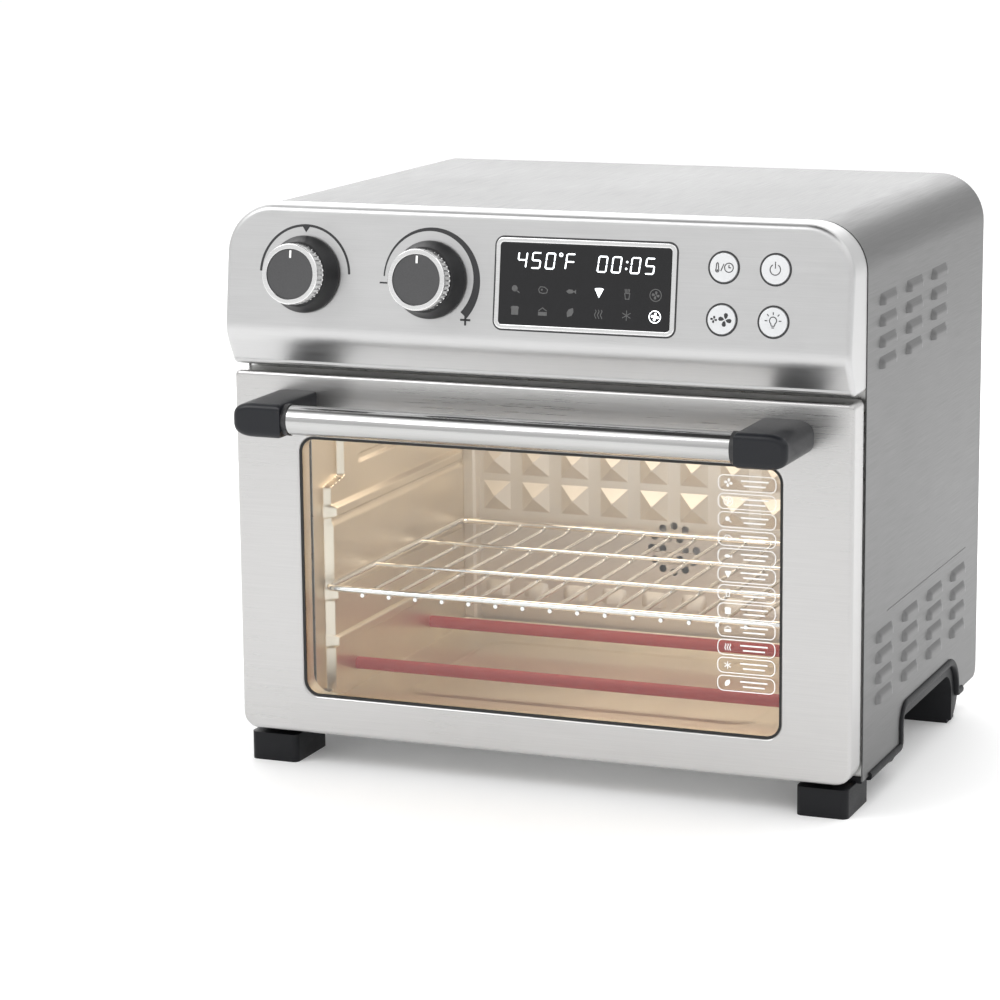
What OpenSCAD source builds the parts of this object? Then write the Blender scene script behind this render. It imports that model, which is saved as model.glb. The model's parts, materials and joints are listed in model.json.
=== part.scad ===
// Counter-top convection toaster oven with a drop-down glass door.
// Units are millimetres. +Z is up, +X is to the right of the user, and the door faces -Y.
// The origin is the middle of the footprint, on the table.

/* [Body] */
// Width of the steel body
body_w = 400; // [380:5:500]
// Depth of the steel body, without the door, the handle and the rear bulge
body_d = 272; // [225:1:340]
// Height from the table to the top of the body
body_h = 354; // [310:1:430]
// Thickness of the outer sheet metal
skin_t = 1; // [0.8:0.1:1.5]
// Thickness of the inner sheet metal
liner_t = 1; // [0.8:0.1:1.5]
// Radius of the two top shoulders
shoulder_r = 30; // [15:1:40]
// Air gap between each side of the body and the oven cavity
side_gap = 42; // [36:1:60]

/* [Base] */
// Height of the feet
foot_h = 19; // [14:1:30]
// Width of each foot
foot_w = 32; // [24:1:38]
// Depth of each front foot
foot_d = 45; // [30:1:55]
// How far the front feet stand out in front of the body
foot_reach = 18; // [5:1:20]
// Height of the hand hole in each side, above the side's lower edge
grip_h = 25; // [20:1:32]
// Distance of the hand hole from the front edge of the body
grip_front = 84; // [70:1:90]
// Distance of the hand hole from the back of the body
grip_rear = 50; // [44:1:60]

/* [Door] */
// Thickness of the door
door_t = 20.5; // [18:0.5:26]
// Gap between the closed door and the body
door_gap = 2; // [1.5:0.5:4]
// Gap between the door and the sides of the body
door_side_gap = 1; // [0.5:0.5:3]
// Gap between the feet and the bottom of the door
door_lift = 2.5; // [2:0.5:6]
// Steel border beside the window
border_side = 43; // [36:1:60]
// Steel border above the window
border_top = 39.5; // [34:0.5:60]
// Steel border below the window
border_low = 24.5; // [20:0.5:40]
// Corner radius of the window
window_r = 10; // [4:1:20]
// Thickness of the tempered glass
glass_t = 3; // [2.5:0.5:5]
// Angle of the fully open door
door_open_deg = 78; // [60:1:78]
// Diameter of the door's hinge pins
hinge_pin_d = 4; // [3:0.5:4.5]

/* [Handle] */
// Diameter of the handle bar
bar_d = 18; // [12:1:20]
// Wall of the handle bar's tube
bar_wall = 1.5; // [0.8:0.1:3]
// Distance from the door to the middle of the bar
bar_reach = 42.5; // [34:0.5:50]
// Distance from the top of the door to the middle of the bar
bar_drop = 21; // [16:0.5:26]
// Width of each end bracket
bracket_w = 32; // [24:1:40]
// Height of each end bracket
bracket_h = 21; // [20:1:24]

/* [Control panel] */
// Height of the control panel
panel_h = 99.5; // [92:0.5:120]
// Gap between the control panel and the door
panel_gap = 4; // [2:0.5:6]
// How far the fold of the panel stands out in front of the body
panel_reach = 34; // [30:1:40]
// Height of the sloping strip below the fold
panel_chamfer_h = 21.5; // [14:0.5:26]
// Backward lean of the panel's face, in degrees
panel_lean = 7.4; // [0:0.1:10]
// Height of the row of controls above the fold
control_rise = 38.5; // [36:0.5:44]

/* [Controls] */
// Diameter of each knob at its foot
knob_d = 47; // [40:1:52]
// Diameter of the bright ring of each knob
knob_ring_d = 37; // [30:1:38]
// Height of each knob
knob_h = 22; // [18:0.5:28]
// Distance between the two knobs
knob_pitch = 83; // [70:1:90]
// Distance of the left knob from the side of the body
knob_inset = 54; // [48:1:60]
// Diameter of the knob shafts
shaft_d = 6; // [5:0.5:7]
// Width of the display window
display_w = 107.5; // [90:0.5:112]
// Height of the display window
display_h = 48.5; // [40:0.5:52]
// Width of the trim around the display
display_trim = 3; // [2:0.5:4]
// Diameter of each push button
button_d = 17; // [13:0.5:20]
// Distance between neighbouring buttons across the panel
button_pitch_x = 31.3; // [24:0.1:34]
// Distance between the two rows of buttons
button_pitch_z = 30.2; // [24:0.1:32]
// Distance of the right-hand buttons from the side of the body
button_inset = 47.3; // [40:0.1:56]
// Travel of each push button
button_travel = 0.8; // [0.4:0.1:1]

/* [Cavity] */
// Gap behind the cavity for the fan
fan_gap = 36; // [34:1:44]
// Height of the cavity floor above the feet
floor_rise = 15; // [14:1:24]
// Height of the rack above the cavity floor
rack_rise = 76; // [60:1:90]
// Clearance between the rack and each side wall
rack_clear = 5; // [3:0.5:7]
// Diameter of the wire around the rack
rack_wire_d = 4; // [3:0.5:5]
// Diameter of the wires across the rack
rack_rod_d = 2.6; // [2:0.1:4]
// Distance between the wires across the rack
rack_rod_pitch = 18; // [12:1:24]
// Diameter of the heating tubes
heater_d = 8; // [6:0.5:10]
// Height of the lower heating tubes above the cavity floor
heater_rise = 16; // [14:1:22]

/* [Fan] */
// Diameter of the convection fan
fan_d = 130; // [90:2:140]
// Height of the fan above the cavity floor
fan_rise = 100; // [85:1:110]
// Depth of the bulge of the back panel over the motor
bulge_d = 28; // [26:1:40]
// Diameter of the motor shaft
motor_shaft_d = 5; // [4:0.5:6]
// Diameter of the power cord that the gland takes
cord_d = 8; // [6:0.5:10]

/* [Hidden] */
$fn = 48;

// Clearances
run_fit = 0.05;      // radial, shaft in its bore
seat_fit = 0.2;      // between sheets that nest
slide_fit = 0.25;    // radial, push button in its hole
weld_sink = 0.4;     // how deep the rack's wires melt into each other
past = 1;            // how far a cutter reaches past what it cuts

// Body
half_w = body_w / 2;
inner_w = half_w - skin_t;                 // inside face of the side sheets
nest_w = inner_w - seat_fit;               // plates that stand inside the wrap
frame_y0 = 0.8;                            // front face of the front frame
frame_y1 = frame_y0 + liner_t;
flange_w = 12;                             // inward flange at the back of the wrap
flange_y = body_d - 4;
back_y0 = flange_y + skin_t;               // front face of the back panel
back_y1 = back_y0 + skin_t;

// Two groups of louvres on each side, above and below the middle
louvre_len = 34;
louvre_h = 2.4;
louvre_pitch_y = 58.5;
louvre_pitch_z = 12.6;
louvre_rows = 4;
louvre_y = 44;
louvre_high_z = body_h - 49;
louvre_low_z = foot_h + 82;
louvre_high_columns = floor((body_d - 2 * louvre_y) / louvre_pitch_y);
louvre_low_columns = louvre_high_columns + 1;

// Door and its hinge
door_half_w = half_w - door_side_gap;
door_y1 = -door_gap;                       // back of the door
door_y0 = door_y1 - door_t;                // face of the door
panel_z0 = body_h - panel_h;
door_z0 = foot_h + door_lift;
door_z1 = panel_z0 - panel_gap;
door_corner_top = 3;
door_corner_low = 10;
window_x = door_half_w - border_side;
window_z0 = door_z0 + border_low;
window_z1 = door_z1 - border_top;
hinge_y = door_y0 + 5.5;
hinge_z = door_z0 + 4.5;
hinge_arm_h = 7;
hinge_x0 = door_half_w - 31;               // inner end of the hinge
hinge_x1 = door_half_w - 9;                // outer end of the hinge
hinge_plate_t = 2;
hinge_arm_t = 3;
hinge_arm_x1 = hinge_x1 - hinge_plate_t - 1;
hinge_arm_x0 = hinge_arm_x1 - hinge_arm_t;
hinge_notch_h = 22;
spring_wire_d = 1.4;
spring_turns = 7;

// Glass and gasket
gasket_t = 1;
gasket_show = 1.5;                         // edge of the gasket seen in the window
glass_lap = 10;                            // how far the glass goes under the border
glass_y0 = door_y0 + skin_t + gasket_t;
glass_y1 = glass_y0 + glass_t;
clip_t = 1.2;
clip_w = 12;

// Handle
bar_y = door_y0 - bar_reach;
bar_z = door_z1 - bar_drop;
bracket_x1 = door_half_w - 24;
bracket_x0 = bracket_x1 - bracket_w;
bracket_y0 = bar_y - bracket_h / 2;
bracket_point = 6;                         // how far the ends of the bracket come to an edge
collar_w = 3;
socket_depth = 8;
handle_screw_x = bracket_x1 - 15;
door_screw_x = [60, hinge_x0 - 9];
door_tab_w = 12;
screw_r = 2;

// Control panel: the face starts at the fold and leans back
fold_z = panel_z0 + panel_chamfer_h;
panel_half_w = half_w - 0.5;
panel_back_y = -0.6;
chamfer_deg = atan((panel_reach + door_y0) / panel_chamfer_h);
knob_x = [-half_w + knob_inset, -half_w + knob_inset + knob_pitch];
button_x1 = half_w - button_inset;
button_x0 = button_x1 - button_pitch_x;
button_z = [control_rise - 1.5 - button_pitch_z / 2, control_rise - 1.5 + button_pitch_z / 2];
display_x = button_x0 - 85.5;              // middle of the display
display_z = control_rise - 1;
display_r = 2;

// Control board, measured inwards from the face of the panel
board_y0 = 9;
board_t = 1.6;
board_margin = 35;
board_z0 = 6;
board_z1 = 70;
encoder_w = 12;
encoder_y0 = 3;
bush_r = shaft_d / 2 + 0.9;
bush_out = 2.5;                            // how far the bush stands out of the face
button_out = 1;
button_rim = 1;
button_rim_y = skin_t + 0.3;
stem_r = 2;
switch_w = 6;
switch_gap = 0.1;
stem_end = board_y0 - 3.5 - button_travel - switch_gap;

// Cavity
cav_x = half_w - side_gap;
cav_z0 = foot_h + floor_rise;
cav_z1 = door_z1 - 4.5;
cav_y0 = frame_y1;
cav_y1 = body_d - fan_gap;
ledge_w = 7.5;
ledge_t = 2;
ledge_end = 6;
rack_z = cav_z0 + rack_rise;
ledge_rises = [rack_rise - 33, rack_rise, rack_rise + 45];
rack_x = cav_x - rack_clear;               // outer edge of the rack
rack_y0 = frame_y1 + 0.7;
rack_y1 = cav_y1 - 10;
rack_corner_r = 8;
heater_y = [cav_y0 + 50, cav_y1 - 64];
heater_low_z = cav_z0 + heater_rise;
heater_high_z = cav_z1 - 14;
heater_hole_r = heater_d / 2 + 0.6;
heater_end_x = cav_x + 18;
terminal_len = 5;
terminal_r = 1.5;
insulator_len = 9;
insulator_r = heater_d / 2 + 4;
pocket_gap = 2;                            // air around the heater ends in the base moulding
tray_t = 0.8;
tray_rim = 6;
tray_gap = 3;                              // between the crumb tray and each side wall
tray_bead_x = 45;                          // raised border of the tray, from its sides
tray_bead_y = 20;
tray_bead_w = 3;
tray_bead_h = 1.2;
lamp_y = cav_y1 - 56;
lamp_z = cav_z1 - 52;
lamp_r = 20;
lamp_depth = 28;
lamp_neck_r = 7;
bulb_r = 8.5;
bulb_out = 10;                             // from the cavity wall to the middle of the bulb
probe_y = cav_y1 - 30;
probe_z = cav_z1 - 14;
probe_r = 2.2;

// Reflector pattern and hot-air slots of the back wall
dimple_pitch = 28.6;
dimple_pitch_z = 25;
dimple_rows = 4;
dimple_w = 20;
dimple_h = 20;
dimple_deep = 5;
dimple_z = cav_z0 + 93;                    // middle of the lowest row
air_slot_w = 17;
air_slot_h = 10;
air_slot_z = [cav_z0 + 28, cav_z1 - 16];
intake_r = 2.8;                            // holes in front of the fan
intake_pitch = 8;
intake_drop = 36;                          // intake below the middle of the fan

// Power board on standoffs over the cavity
power_size = [110, 80];
power_lift = 9;
transformer = [32, 28, 24];
relay = [16, 28, 16];
relay_pitch = 22;

// Fan and motor, from front to back
fan_z = cav_z0 + fan_rise;
housing_y1 = cav_y1 + liner_t + 20;
housing_half_w = fan_d / 2 + 12;
housing_z0 = fan_z - fan_d / 2 - 8;
housing_z1 = fan_z + fan_d / 2 + 8;
fan_y = cav_y1 + liner_t + 5;
fan_blade_w = 9;
fan_blades = 10;
cooler_d = 70;
cooler_y = housing_y1 + 2;
stator_w = 60;
stator_h = 48;
stator_y0 = back_y1 + 1;
stator_y1 = stator_y0 + 15;
rotor_r = 12;
rotor_gap = 0.4;
bridge_t = 2;
bridge_y0 = cooler_y + 6;
bridge_y1 = stator_y1 + 4;
motor_y1 = bridge_y1 + bridge_t + 1;       // end of the motor shaft
bulge_x = stator_w / 2 + 22;
bulge_z0 = fan_z - 46;
bulge_z1 = fan_z + 46;
bulge_y1 = back_y1 + bulge_d;
gland_x = half_w - 56;
gland_z = foot_h + 40;
gland_r = cord_d / 2 + 3.5;
gland_in = 8;                              // how far the gland reaches into the body
gland_out = 10;                            // how far the gland stands out of the back
gland_collar_t = 3;
vent_pitch = 10;                           // slots of the back panel
vent_h = 4;
vent_rows = 4;
vent_z = body_h - 60;                      // highest row of slots
vent_side_w = 40;
vent_mid_w = 120;
case_screw_z = [foot_h + 30, body_h / 2 + 10, body_h - 50];
case_screw_x = inner_w - flange_w / 2;

// Base runners, with a rim around the hand hole
grip_y0 = grip_front;
grip_y1 = body_d - grip_rear;
grip_front_r = 12;
grip_back_r = 22;
grip_rib_y = grip_y1 - 39;                 // stiffening rib in the hand hole
grip_wall_t = 6;
wrap_corner_r = 7;                         // lower back corners of the wrap
runner_x0 = cav_x + 2.5;
runner_x1 = inner_w - seat_fit;
foot_x1 = half_w - 4;
foot_x0 = foot_x1 - foot_w;
foot_corner_r = 4;
front_foot_z = foot_h - 1.2;               // the door swings over the front feet
rear_foot_d = 38;
rear_foot_y = body_d - 76;
runner_y0 = 2.5;
runner_y1 = min(rear_foot_y + rear_foot_d, flange_y - 2);
rim_w = 9;                                 // rim of the moulding around the hand hole
base_ledge_w = 10;
base_z = foot_h + 2;

// The frame's origin is the middle of the footprint
y_front = bracket_y0;
y_middle = (y_front + bulge_y1) / 2;

// ---------- Helpers ----------

module in_frame() {
    translate([0, -y_middle, 0]) children();
}

// Outline in the XZ plane, extruded from y0 to y1
module along_y(y0, y1) {
    translate([0, y1, 0]) rotate([90, 0, 0]) linear_extrude(y1 - y0) children();
}

// Outline in the YZ plane, extruded from x0 to x1
module along_x(x0, x1) {
    translate([x0, 0, 0]) rotate([90, 0, 90]) linear_extrude(x1 - x0) children();
}

// Block between two corners
module block(low, high) {
    translate(low) cube(high - low);
}

// Rod along X, Y or Z
module rod_x(x0, x1, y, z, r) {
    translate([x0, y, z]) rotate([0, 90, 0]) cylinder(h = x1 - x0, r = r);
}
module rod_y(y0, y1, x, z, r) {
    translate([x, y1, z]) rotate([90, 0, 0]) cylinder(h = y1 - y0, r = r);
}

// Rectangle with equal corner radii
module rounded_rect(low, high, r) {
    translate([low[0] + r, low[1]]) square([high[0] - low[0] - 2 * r, high[1] - low[1]]);
    translate([low[0], low[1] + r]) square([high[0] - low[0], high[1] - low[1] - 2 * r]);
    for (a = [low[0] + r, high[0] - r], b = [low[1] + r, high[1] - r]) {
        translate([a, b]) circle(r);
    }
}

// Upright outline with two round shoulders
module shoulder_outline(w, z0, z1, r) {
    translate([-w, z0]) square([2 * w, z1 - z0 - r]);
    translate([-w + r, z0]) square([2 * (w - r), z1 - z0]);
    for (s = [-1, 1]) {
        translate([s * (w - r), z1 - r]) circle(r);
    }
}

// Outline of the door, with small top and larger bottom corners
module door_outline(inset) {
    w = door_half_w - inset;
    z0 = door_z0 + inset;
    z1 = door_z1 - inset;
    top_r = door_corner_top - inset / 2;
    low_r = door_corner_low - inset;
    translate([-w, z0 + low_r]) square([2 * w, z1 - z0 - low_r - top_r]);
    translate([-w + top_r, z0 + low_r]) square([2 * (w - top_r), z1 - z0 - low_r]);
    translate([-w + low_r, z0]) square([2 * (w - low_r), 2 * low_r]);
    for (s = [-1, 1]) {
        translate([s * (w - low_r), z0 + low_r]) circle(low_r);
        translate([s * (w - top_r), z1 - top_r]) circle(top_r);
    }
}

// Window opening, grown by a margin
module window_outline(grow) {
    rounded_rect([-window_x - grow, window_z0 - grow], [window_x + grow, window_z1 + grow],
        window_r + grow);
}

// Hand hole seen from the side: steep at the front, rounder at the back
module grip_outline(y0, y1, z0, z1, front_r, back_r) {
    translate([y0 + front_r, z0]) square([y1 - y0 - front_r - back_r, z1 - z0]);
    translate([y0, z0]) square([2 * front_r, z1 - z0 - front_r]);
    translate([y1 - 2 * back_r, z0]) square([2 * back_r, z1 - z0 - back_r]);
    translate([y0 + front_r, z1 - front_r]) circle(front_r);
    translate([y1 - back_r, z1 - back_r]) circle(back_r);
}

// Local frame of the panel's face: X across, Z up the face, -Y out of it
module on_face(x, z) {
    translate([0, -panel_reach, fold_z]) rotate([-panel_lean, 0, 0]) translate([x, 0, z]) children();
}

// Disc or shaft on the face, from depth y0 to y1
module face_rod(y0, y1, r) {
    rod_y(y0, y1, 0, 0, r);
}

// Side profile of the control panel, set inwards by t
function panel_profile(t, back) =
    let (
        face_shift = t / cos(panel_lean),
        chamfer_shift = t / cos(chamfer_deg),
        rise = (chamfer_shift - face_shift) / (tan(panel_lean) + tan(chamfer_deg)),
        top = body_h - t,
        low = panel_z0 + t
    ) [
        [back, top],
        [-panel_reach + face_shift + (top - fold_z) * tan(panel_lean), top],
        [-panel_reach + face_shift + rise * tan(panel_lean), fold_z + rise],
        [-panel_reach + chamfer_shift + (fold_z - low) * tan(chamfer_deg), low],
        [back, low],
    ];

// ---------- Body ----------

module louvre_group(z, columns) {
    for (c = [0:columns - 1], r = [0:louvre_rows - 1]) {
        y = louvre_y + c * louvre_pitch_y;
        zz = z - r * louvre_pitch_z;
        translate([y - louvre_len / 2, zz - louvre_h / 2]) square([louvre_len, louvre_h]);
    }
}

module outer_wrap() color("silver") in_frame() {
    difference() {
        union() {
            difference() {
                along_y(0, body_d) shoulder_outline(half_w, foot_h, body_h, shoulder_r);
                along_y(-past, body_d + past)
                    shoulder_outline(inner_w, foot_h - past, body_h - skin_t, shoulder_r - skin_t);
            }
            difference() {
                along_y(flange_y, flange_y + skin_t)
                    shoulder_outline(inner_w + skin_t / 2, base_z + 2, body_h - skin_t / 2,
                        shoulder_r - skin_t / 2);
                along_y(flange_y - past, flange_y + skin_t + past)
                    shoulder_outline(inner_w - flange_w, foot_h - past, body_h - skin_t - flange_w,
                        shoulder_r - flange_w);
            }
        }
        along_x(-half_w - past, half_w + past) {
            louvre_group(louvre_high_z, louvre_high_columns);
            louvre_group(louvre_low_z, louvre_low_columns);
            grip_outline(grip_y0, grip_y1, foot_h - past, foot_h + grip_h, grip_front_r, grip_back_r);
            translate([body_d - wrap_corner_r, foot_h]) difference() {
                translate([0, -past]) square(wrap_corner_r + past);
                translate([0, wrap_corner_r]) circle(wrap_corner_r);
            }
        }
        case_screw_sites() rod_y(flange_y - past, body_d, 0, 0, screw_r + run_fit);
    }
}

module case_screw_sites() {
    for (s = [-1, 1], z = case_screw_z) {
        translate([s * case_screw_x, 0, z]) children();
    }
}

module case_screws() color("gray") in_frame() case_screw_sites() {
    rod_y(back_y1, back_y1 + 2, 0, 0, 2 * screw_r);
    rod_y(flange_y - 4, back_y1, 0, 0, screw_r);
}

module back_panel() color("lightgray") in_frame() difference() {
    union() {
        along_y(back_y0, back_y1)
            shoulder_outline(nest_w, foot_h + 0.5, body_h - skin_t - seat_fit,
                shoulder_r - skin_t - seat_fit);
        along_y(back_y0, bulge_y1)
            rounded_rect([-bulge_x, bulge_z0], [bulge_x, bulge_z1], 10);
    }
    along_y(back_y0 - past, bulge_y1 - skin_t)
        rounded_rect([-bulge_x + skin_t, bulge_z0 + skin_t], [bulge_x - skin_t, bulge_z1 - skin_t], 9);
    along_y(bulge_y1 - skin_t - past, bulge_y1 + past) bulge_vents();
    along_y(back_y0 - past, back_y1 + past) panel_vents();
    case_screw_sites() rod_y(back_y0 - past, back_y1 + past, 0, 0, screw_r + run_fit);
    rod_y(back_y0 - past, back_y1 + past, gland_x, gland_z, gland_r + run_fit);
}

module bulge_vents() {
    for (i = [-3:3], s = [-1, 1]) {
        translate([s * bulge_x / 2 - bulge_x / 3, fan_z + i * 11 - 2]) square([2 * bulge_x / 3, 4]);
    }
}

module panel_vents() {
    for (i = [0:vent_rows - 1], s = [-1, 1]) {
        x = s * (bulge_x + vent_side_w);
        translate([x - vent_side_w / 2, vent_z - i * vent_pitch]) square([vent_side_w, vent_h]);
    }
    for (i = [0:vent_rows - 1]) {
        translate([-vent_mid_w / 2, vent_z - i * vent_pitch]) square([vent_mid_w, vent_h]);
    }
}

module cord_gland() color([0.12, 0.12, 0.13]) in_frame() difference() {
    union() {
        rod_y(back_y0 - gland_in, back_y1 + gland_out, gland_x, gland_z, gland_r);
        rod_y(back_y1, back_y1 + gland_collar_t, gland_x, gland_z, gland_r + 3);
        rod_y(back_y0 - gland_in, back_y0 - seat_fit, gland_x, gland_z, gland_r + 2);
    }
    rod_y(back_y0 - gland_in - past, back_y1 + gland_out + past, gland_x, gland_z, cord_d / 2);
}

module base_plate() color("lightgray") in_frame() difference() {
    block([-nest_w, 4, base_z], [nest_w, flange_y - 1, base_z + liner_t]);
    for (i = [0:6], s = [-1, 1]) {
        y = 60 + i * (body_d - 120) / 7;
        block([s * 70 - 40, y, base_z - past], [s * 70 + 40, y + 5, base_z + liner_t + past]);
    }
    base_grip_clear();
    mirror([1, 0, 0]) base_grip_clear();
}

// The hand hole's moulding rises through the edge of the base plate
module base_grip_clear() {
    block([runner_x0 - 1, grip_y0 - rim_w - 1, base_z - past],
        [half_w, grip_y1 + rim_w + 1, base_z + liner_t + past]);
}

module base_runner() {
    difference() {
        union() {
            along_x(runner_x0, runner_x1) {
                grip_outline(grip_y0 - rim_w, grip_y1 + rim_w, foot_h - 2, foot_h + grip_h + rim_w,
                    grip_front_r + 2, grip_back_r + 4);
                translate([runner_y0, foot_h - 2]) square([runner_y1 - runner_y0, base_z - foot_h + 2]);
            }
            block([runner_x0 - base_ledge_w, 8, foot_h - 1], [runner_x0 + 0.1, runner_y1, base_z]);
            linear_extrude(front_foot_z)
                rounded_rect([foot_x0, -foot_reach], [foot_x1, foot_d - foot_reach], foot_corner_r);
            block([foot_x0, runner_y0, foot_h - 3], [foot_x1, foot_d - foot_reach, foot_h]);
            linear_extrude(foot_h)
                rounded_rect([foot_x0, rear_foot_y], [foot_x1, rear_foot_y + rear_foot_d], foot_corner_r);
            block([runner_x1 - 8, 20, foot_h - 3.5], [half_w - 0.2, grip_y0 + 4, foot_h - 0.2]);
        }
        along_x(runner_x0 + grip_wall_t, half_w + past)
            grip_outline(grip_y0 + rim_w, grip_y1 - rim_w, -past, foot_h + grip_h - rim_w,
                grip_front_r - 4, grip_back_r - 6);
        // Pocket for the ends of the rear heating tube
        block([runner_x0 - past, heater_y[1] - insulator_r - pocket_gap, heater_low_z - insulator_r - 1],
            [heater_end_x + terminal_len + pocket_gap, heater_y[1] + insulator_r + pocket_gap,
                foot_h + grip_h + rim_w + past]);
    }
    block([runner_x0 + grip_wall_t - 1, grip_rib_y, foot_h],
        [runner_x0 + grip_wall_t + 16, grip_rib_y + 2, foot_h + grip_h - rim_w / 2]);
}

module base_runner_right() color([0.16, 0.17, 0.19]) in_frame() base_runner();
module base_runner_left() color([0.16, 0.17, 0.19]) in_frame() mirror([1, 0, 0]) base_runner();

module front_frame() color("gray") in_frame() difference() {
    along_y(frame_y0, frame_y1)
        shoulder_outline(nest_w, base_z + 2, body_h - skin_t - seat_fit, shoulder_r - skin_t - seat_fit);
    along_y(frame_y0 - past, frame_y1 + past) {
        translate([-cav_x, cav_z0]) square([2 * cav_x, cav_z1 - cav_z0]);
        translate([-cav_x, panel_z0 + 18]) square([2 * cav_x, panel_h - 36]);
    }
}

// ---------- Cavity ----------

// Side wall on the right, with ledges for the rack
module cavity_wall() {
    difference() {
        union() {
            block([cav_x, cav_y0, cav_z0 - liner_t], [cav_x + liner_t, cav_y1, cav_z1 + liner_t]);
            for (rise = ledge_rises) {
                z = cav_z0 + rise - rack_wire_d / 2 - 0.15;
                block([cav_x - ledge_w, cav_y0 + ledge_end, z - ledge_t],
                    [cav_x + liner_t / 2, cav_y1 - ledge_end, z]);
            }
        }
        for (y = heater_y, z = [heater_low_z, heater_high_z]) {
            rod_x(cav_x - past, cav_x + liner_t + past, y, z, heater_hole_r);
        }
    }
}

module cavity_right_wall() color("lightgray") in_frame() difference() {
    cavity_wall();
    rod_x(cav_x - past, cav_x + liner_t + past, lamp_y, lamp_z, lamp_r);
}

module cavity_left_wall() color("lightgray") in_frame() difference() {
    mirror([1, 0, 0]) cavity_wall();
    rod_x(-cav_x - liner_t - past, -cav_x + past, probe_y, probe_z, probe_r + run_fit);
}

module cavity_top() color("lightgray") in_frame()
    block([-cav_x, cav_y0, cav_z1], [cav_x, cav_y1, cav_z1 + liner_t]);

module cavity_floor() color("lightgray") in_frame()
    block([-cav_x, cav_y0, cav_z0 - liner_t], [cav_x, cav_y1, cav_z0]);

// Four-sided dimple that points into the cavity
module dimple() {
    polyhedron(
        points = [
            [-dimple_w / 2, 0.1, -dimple_h / 2], [dimple_w / 2, 0.1, -dimple_h / 2],
            [dimple_w / 2, 0.1, dimple_h / 2], [-dimple_w / 2, 0.1, dimple_h / 2],
            [0, -dimple_deep, 0],
        ],
        faces = [[0, 1, 2, 3], [1, 0, 4], [2, 1, 4], [3, 2, 4], [0, 3, 4]]
    );
}

module cavity_back() color("lightgray") in_frame() {
    columns = 2 * floor(cav_x / dimple_pitch);
    first_x = -(columns - 1) / 2 * dimple_pitch;
    difference() {
        union() {
            block([-cav_x - liner_t, cav_y1, cav_z0 - liner_t], [cav_x + liner_t, cav_y1 + liner_t,
                cav_z1 + liner_t]);
            for (c = [0:columns - 1], r = [0:dimple_rows - 1]) {
                translate([first_x + c * dimple_pitch, cav_y1, dimple_z + r * dimple_pitch_z]) dimple();
            }
        }
        along_y(cav_y1 - past, cav_y1 + liner_t + past) {
            for (c = [0:columns - 1], z = air_slot_z) {
                translate([first_x + c * dimple_pitch - air_slot_w / 2, z - air_slot_h / 2])
                    square([air_slot_w, air_slot_h]);
            }
            for (ring = [1:2], i = [0:6 * ring - 1]) {
                translate([0, fan_z - intake_drop]) rotate(i * 60 / ring)
                    translate([intake_pitch * ring, 0]) circle(intake_r);
            }
        }
    }
}

module heater_pair(z) {
    for (y = heater_y) {
        rod_x(-heater_end_x, heater_end_x, y, z, heater_d / 2);
        for (s = [-1, 1]) {
            rod_x(s * heater_end_x - terminal_len, s * heater_end_x + terminal_len, y, z, terminal_r);
        }
    }
}

module lower_heaters() color([0.6, 0.25, 0.2]) in_frame() heater_pair(heater_low_z);
module upper_heaters() color([0.6, 0.25, 0.2]) in_frame() heater_pair(heater_high_z);

module heater_insulators() color("white") in_frame() {
    for (y = heater_y, z = [heater_low_z, heater_high_z], s = [0, 1]) {
        mirror([s, 0, 0]) difference() {
            rod_x(cav_x + liner_t, cav_x + liner_t + insulator_len, y, z, insulator_r);
            rod_x(cav_x, cav_x + liner_t + insulator_len + past, y, z, heater_d / 2 + run_fit);
        }
    }
}

module lamp_housing() color("lightgray") in_frame() difference() {
    rod_x(cav_x + liner_t, cav_x + lamp_depth, lamp_y, lamp_z, lamp_r + 3);
    rod_x(cav_x, cav_x + lamp_depth - 1, lamp_y, lamp_z, lamp_r + 2);
    rod_x(cav_x, cav_x + lamp_depth + past, lamp_y, lamp_z, lamp_neck_r + run_fit);
}

module lamp_bulb() color("lightyellow") in_frame() {
    rod_x(cav_x + lamp_depth - 9, cav_x + lamp_depth + 6, lamp_y, lamp_z, lamp_neck_r);
    rod_x(cav_x + bulb_out, cav_x + lamp_depth - 9, lamp_y, lamp_z, bulb_r);
    translate([cav_x + bulb_out, lamp_y, lamp_z]) sphere(bulb_r);
}

module lamp_lens() color("white", 0.6) in_frame() {
    rod_x(cav_x - 3, cav_x, lamp_y, lamp_z, lamp_r + 2);
    rod_x(cav_x, cav_x + liner_t, lamp_y, lamp_z, lamp_r - run_fit);
}

module temperature_probe() color("silver") in_frame() {
    rod_x(-cav_x - 8, -cav_x + 32, probe_y, probe_z, probe_r);
    rod_x(-cav_x - liner_t - 3, -cav_x - liner_t, probe_y, probe_z, 3 * probe_r);
}

module crumb_tray() color("gainsboro") in_frame() {
    w = cav_x - tray_gap;
    y0 = cav_y0 + 5;
    y1 = cav_y1 - 6;
    z = cav_z0;
    block([-w, y0, z], [w, y1, z + tray_t]);
    block([-w, y0, z], [-w + tray_t, y1, z + tray_rim]);
    block([w - tray_t, y0, z], [w, y1, z + tray_rim]);
    block([-w, y1 - tray_t, z], [w, y1, z + tray_rim]);
    block([-w, y0, z], [w, y0 + tray_t, z + tray_rim]);
    bead_x = w - tray_bead_x;
    bead_z = z + tray_t + tray_bead_h;
    for (x = [-bead_x, bead_x - tray_bead_w]) {
        block([x, y0 + tray_bead_y + 2, z], [x + tray_bead_w, y1 - tray_bead_y - 2, bead_z]);
    }
    for (y = [y0 + tray_bead_y, y1 - tray_bead_y - tray_bead_w]) {
        block([-bead_x, y, z], [bead_x, y + tray_bead_w, bead_z]);
    }
}

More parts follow.
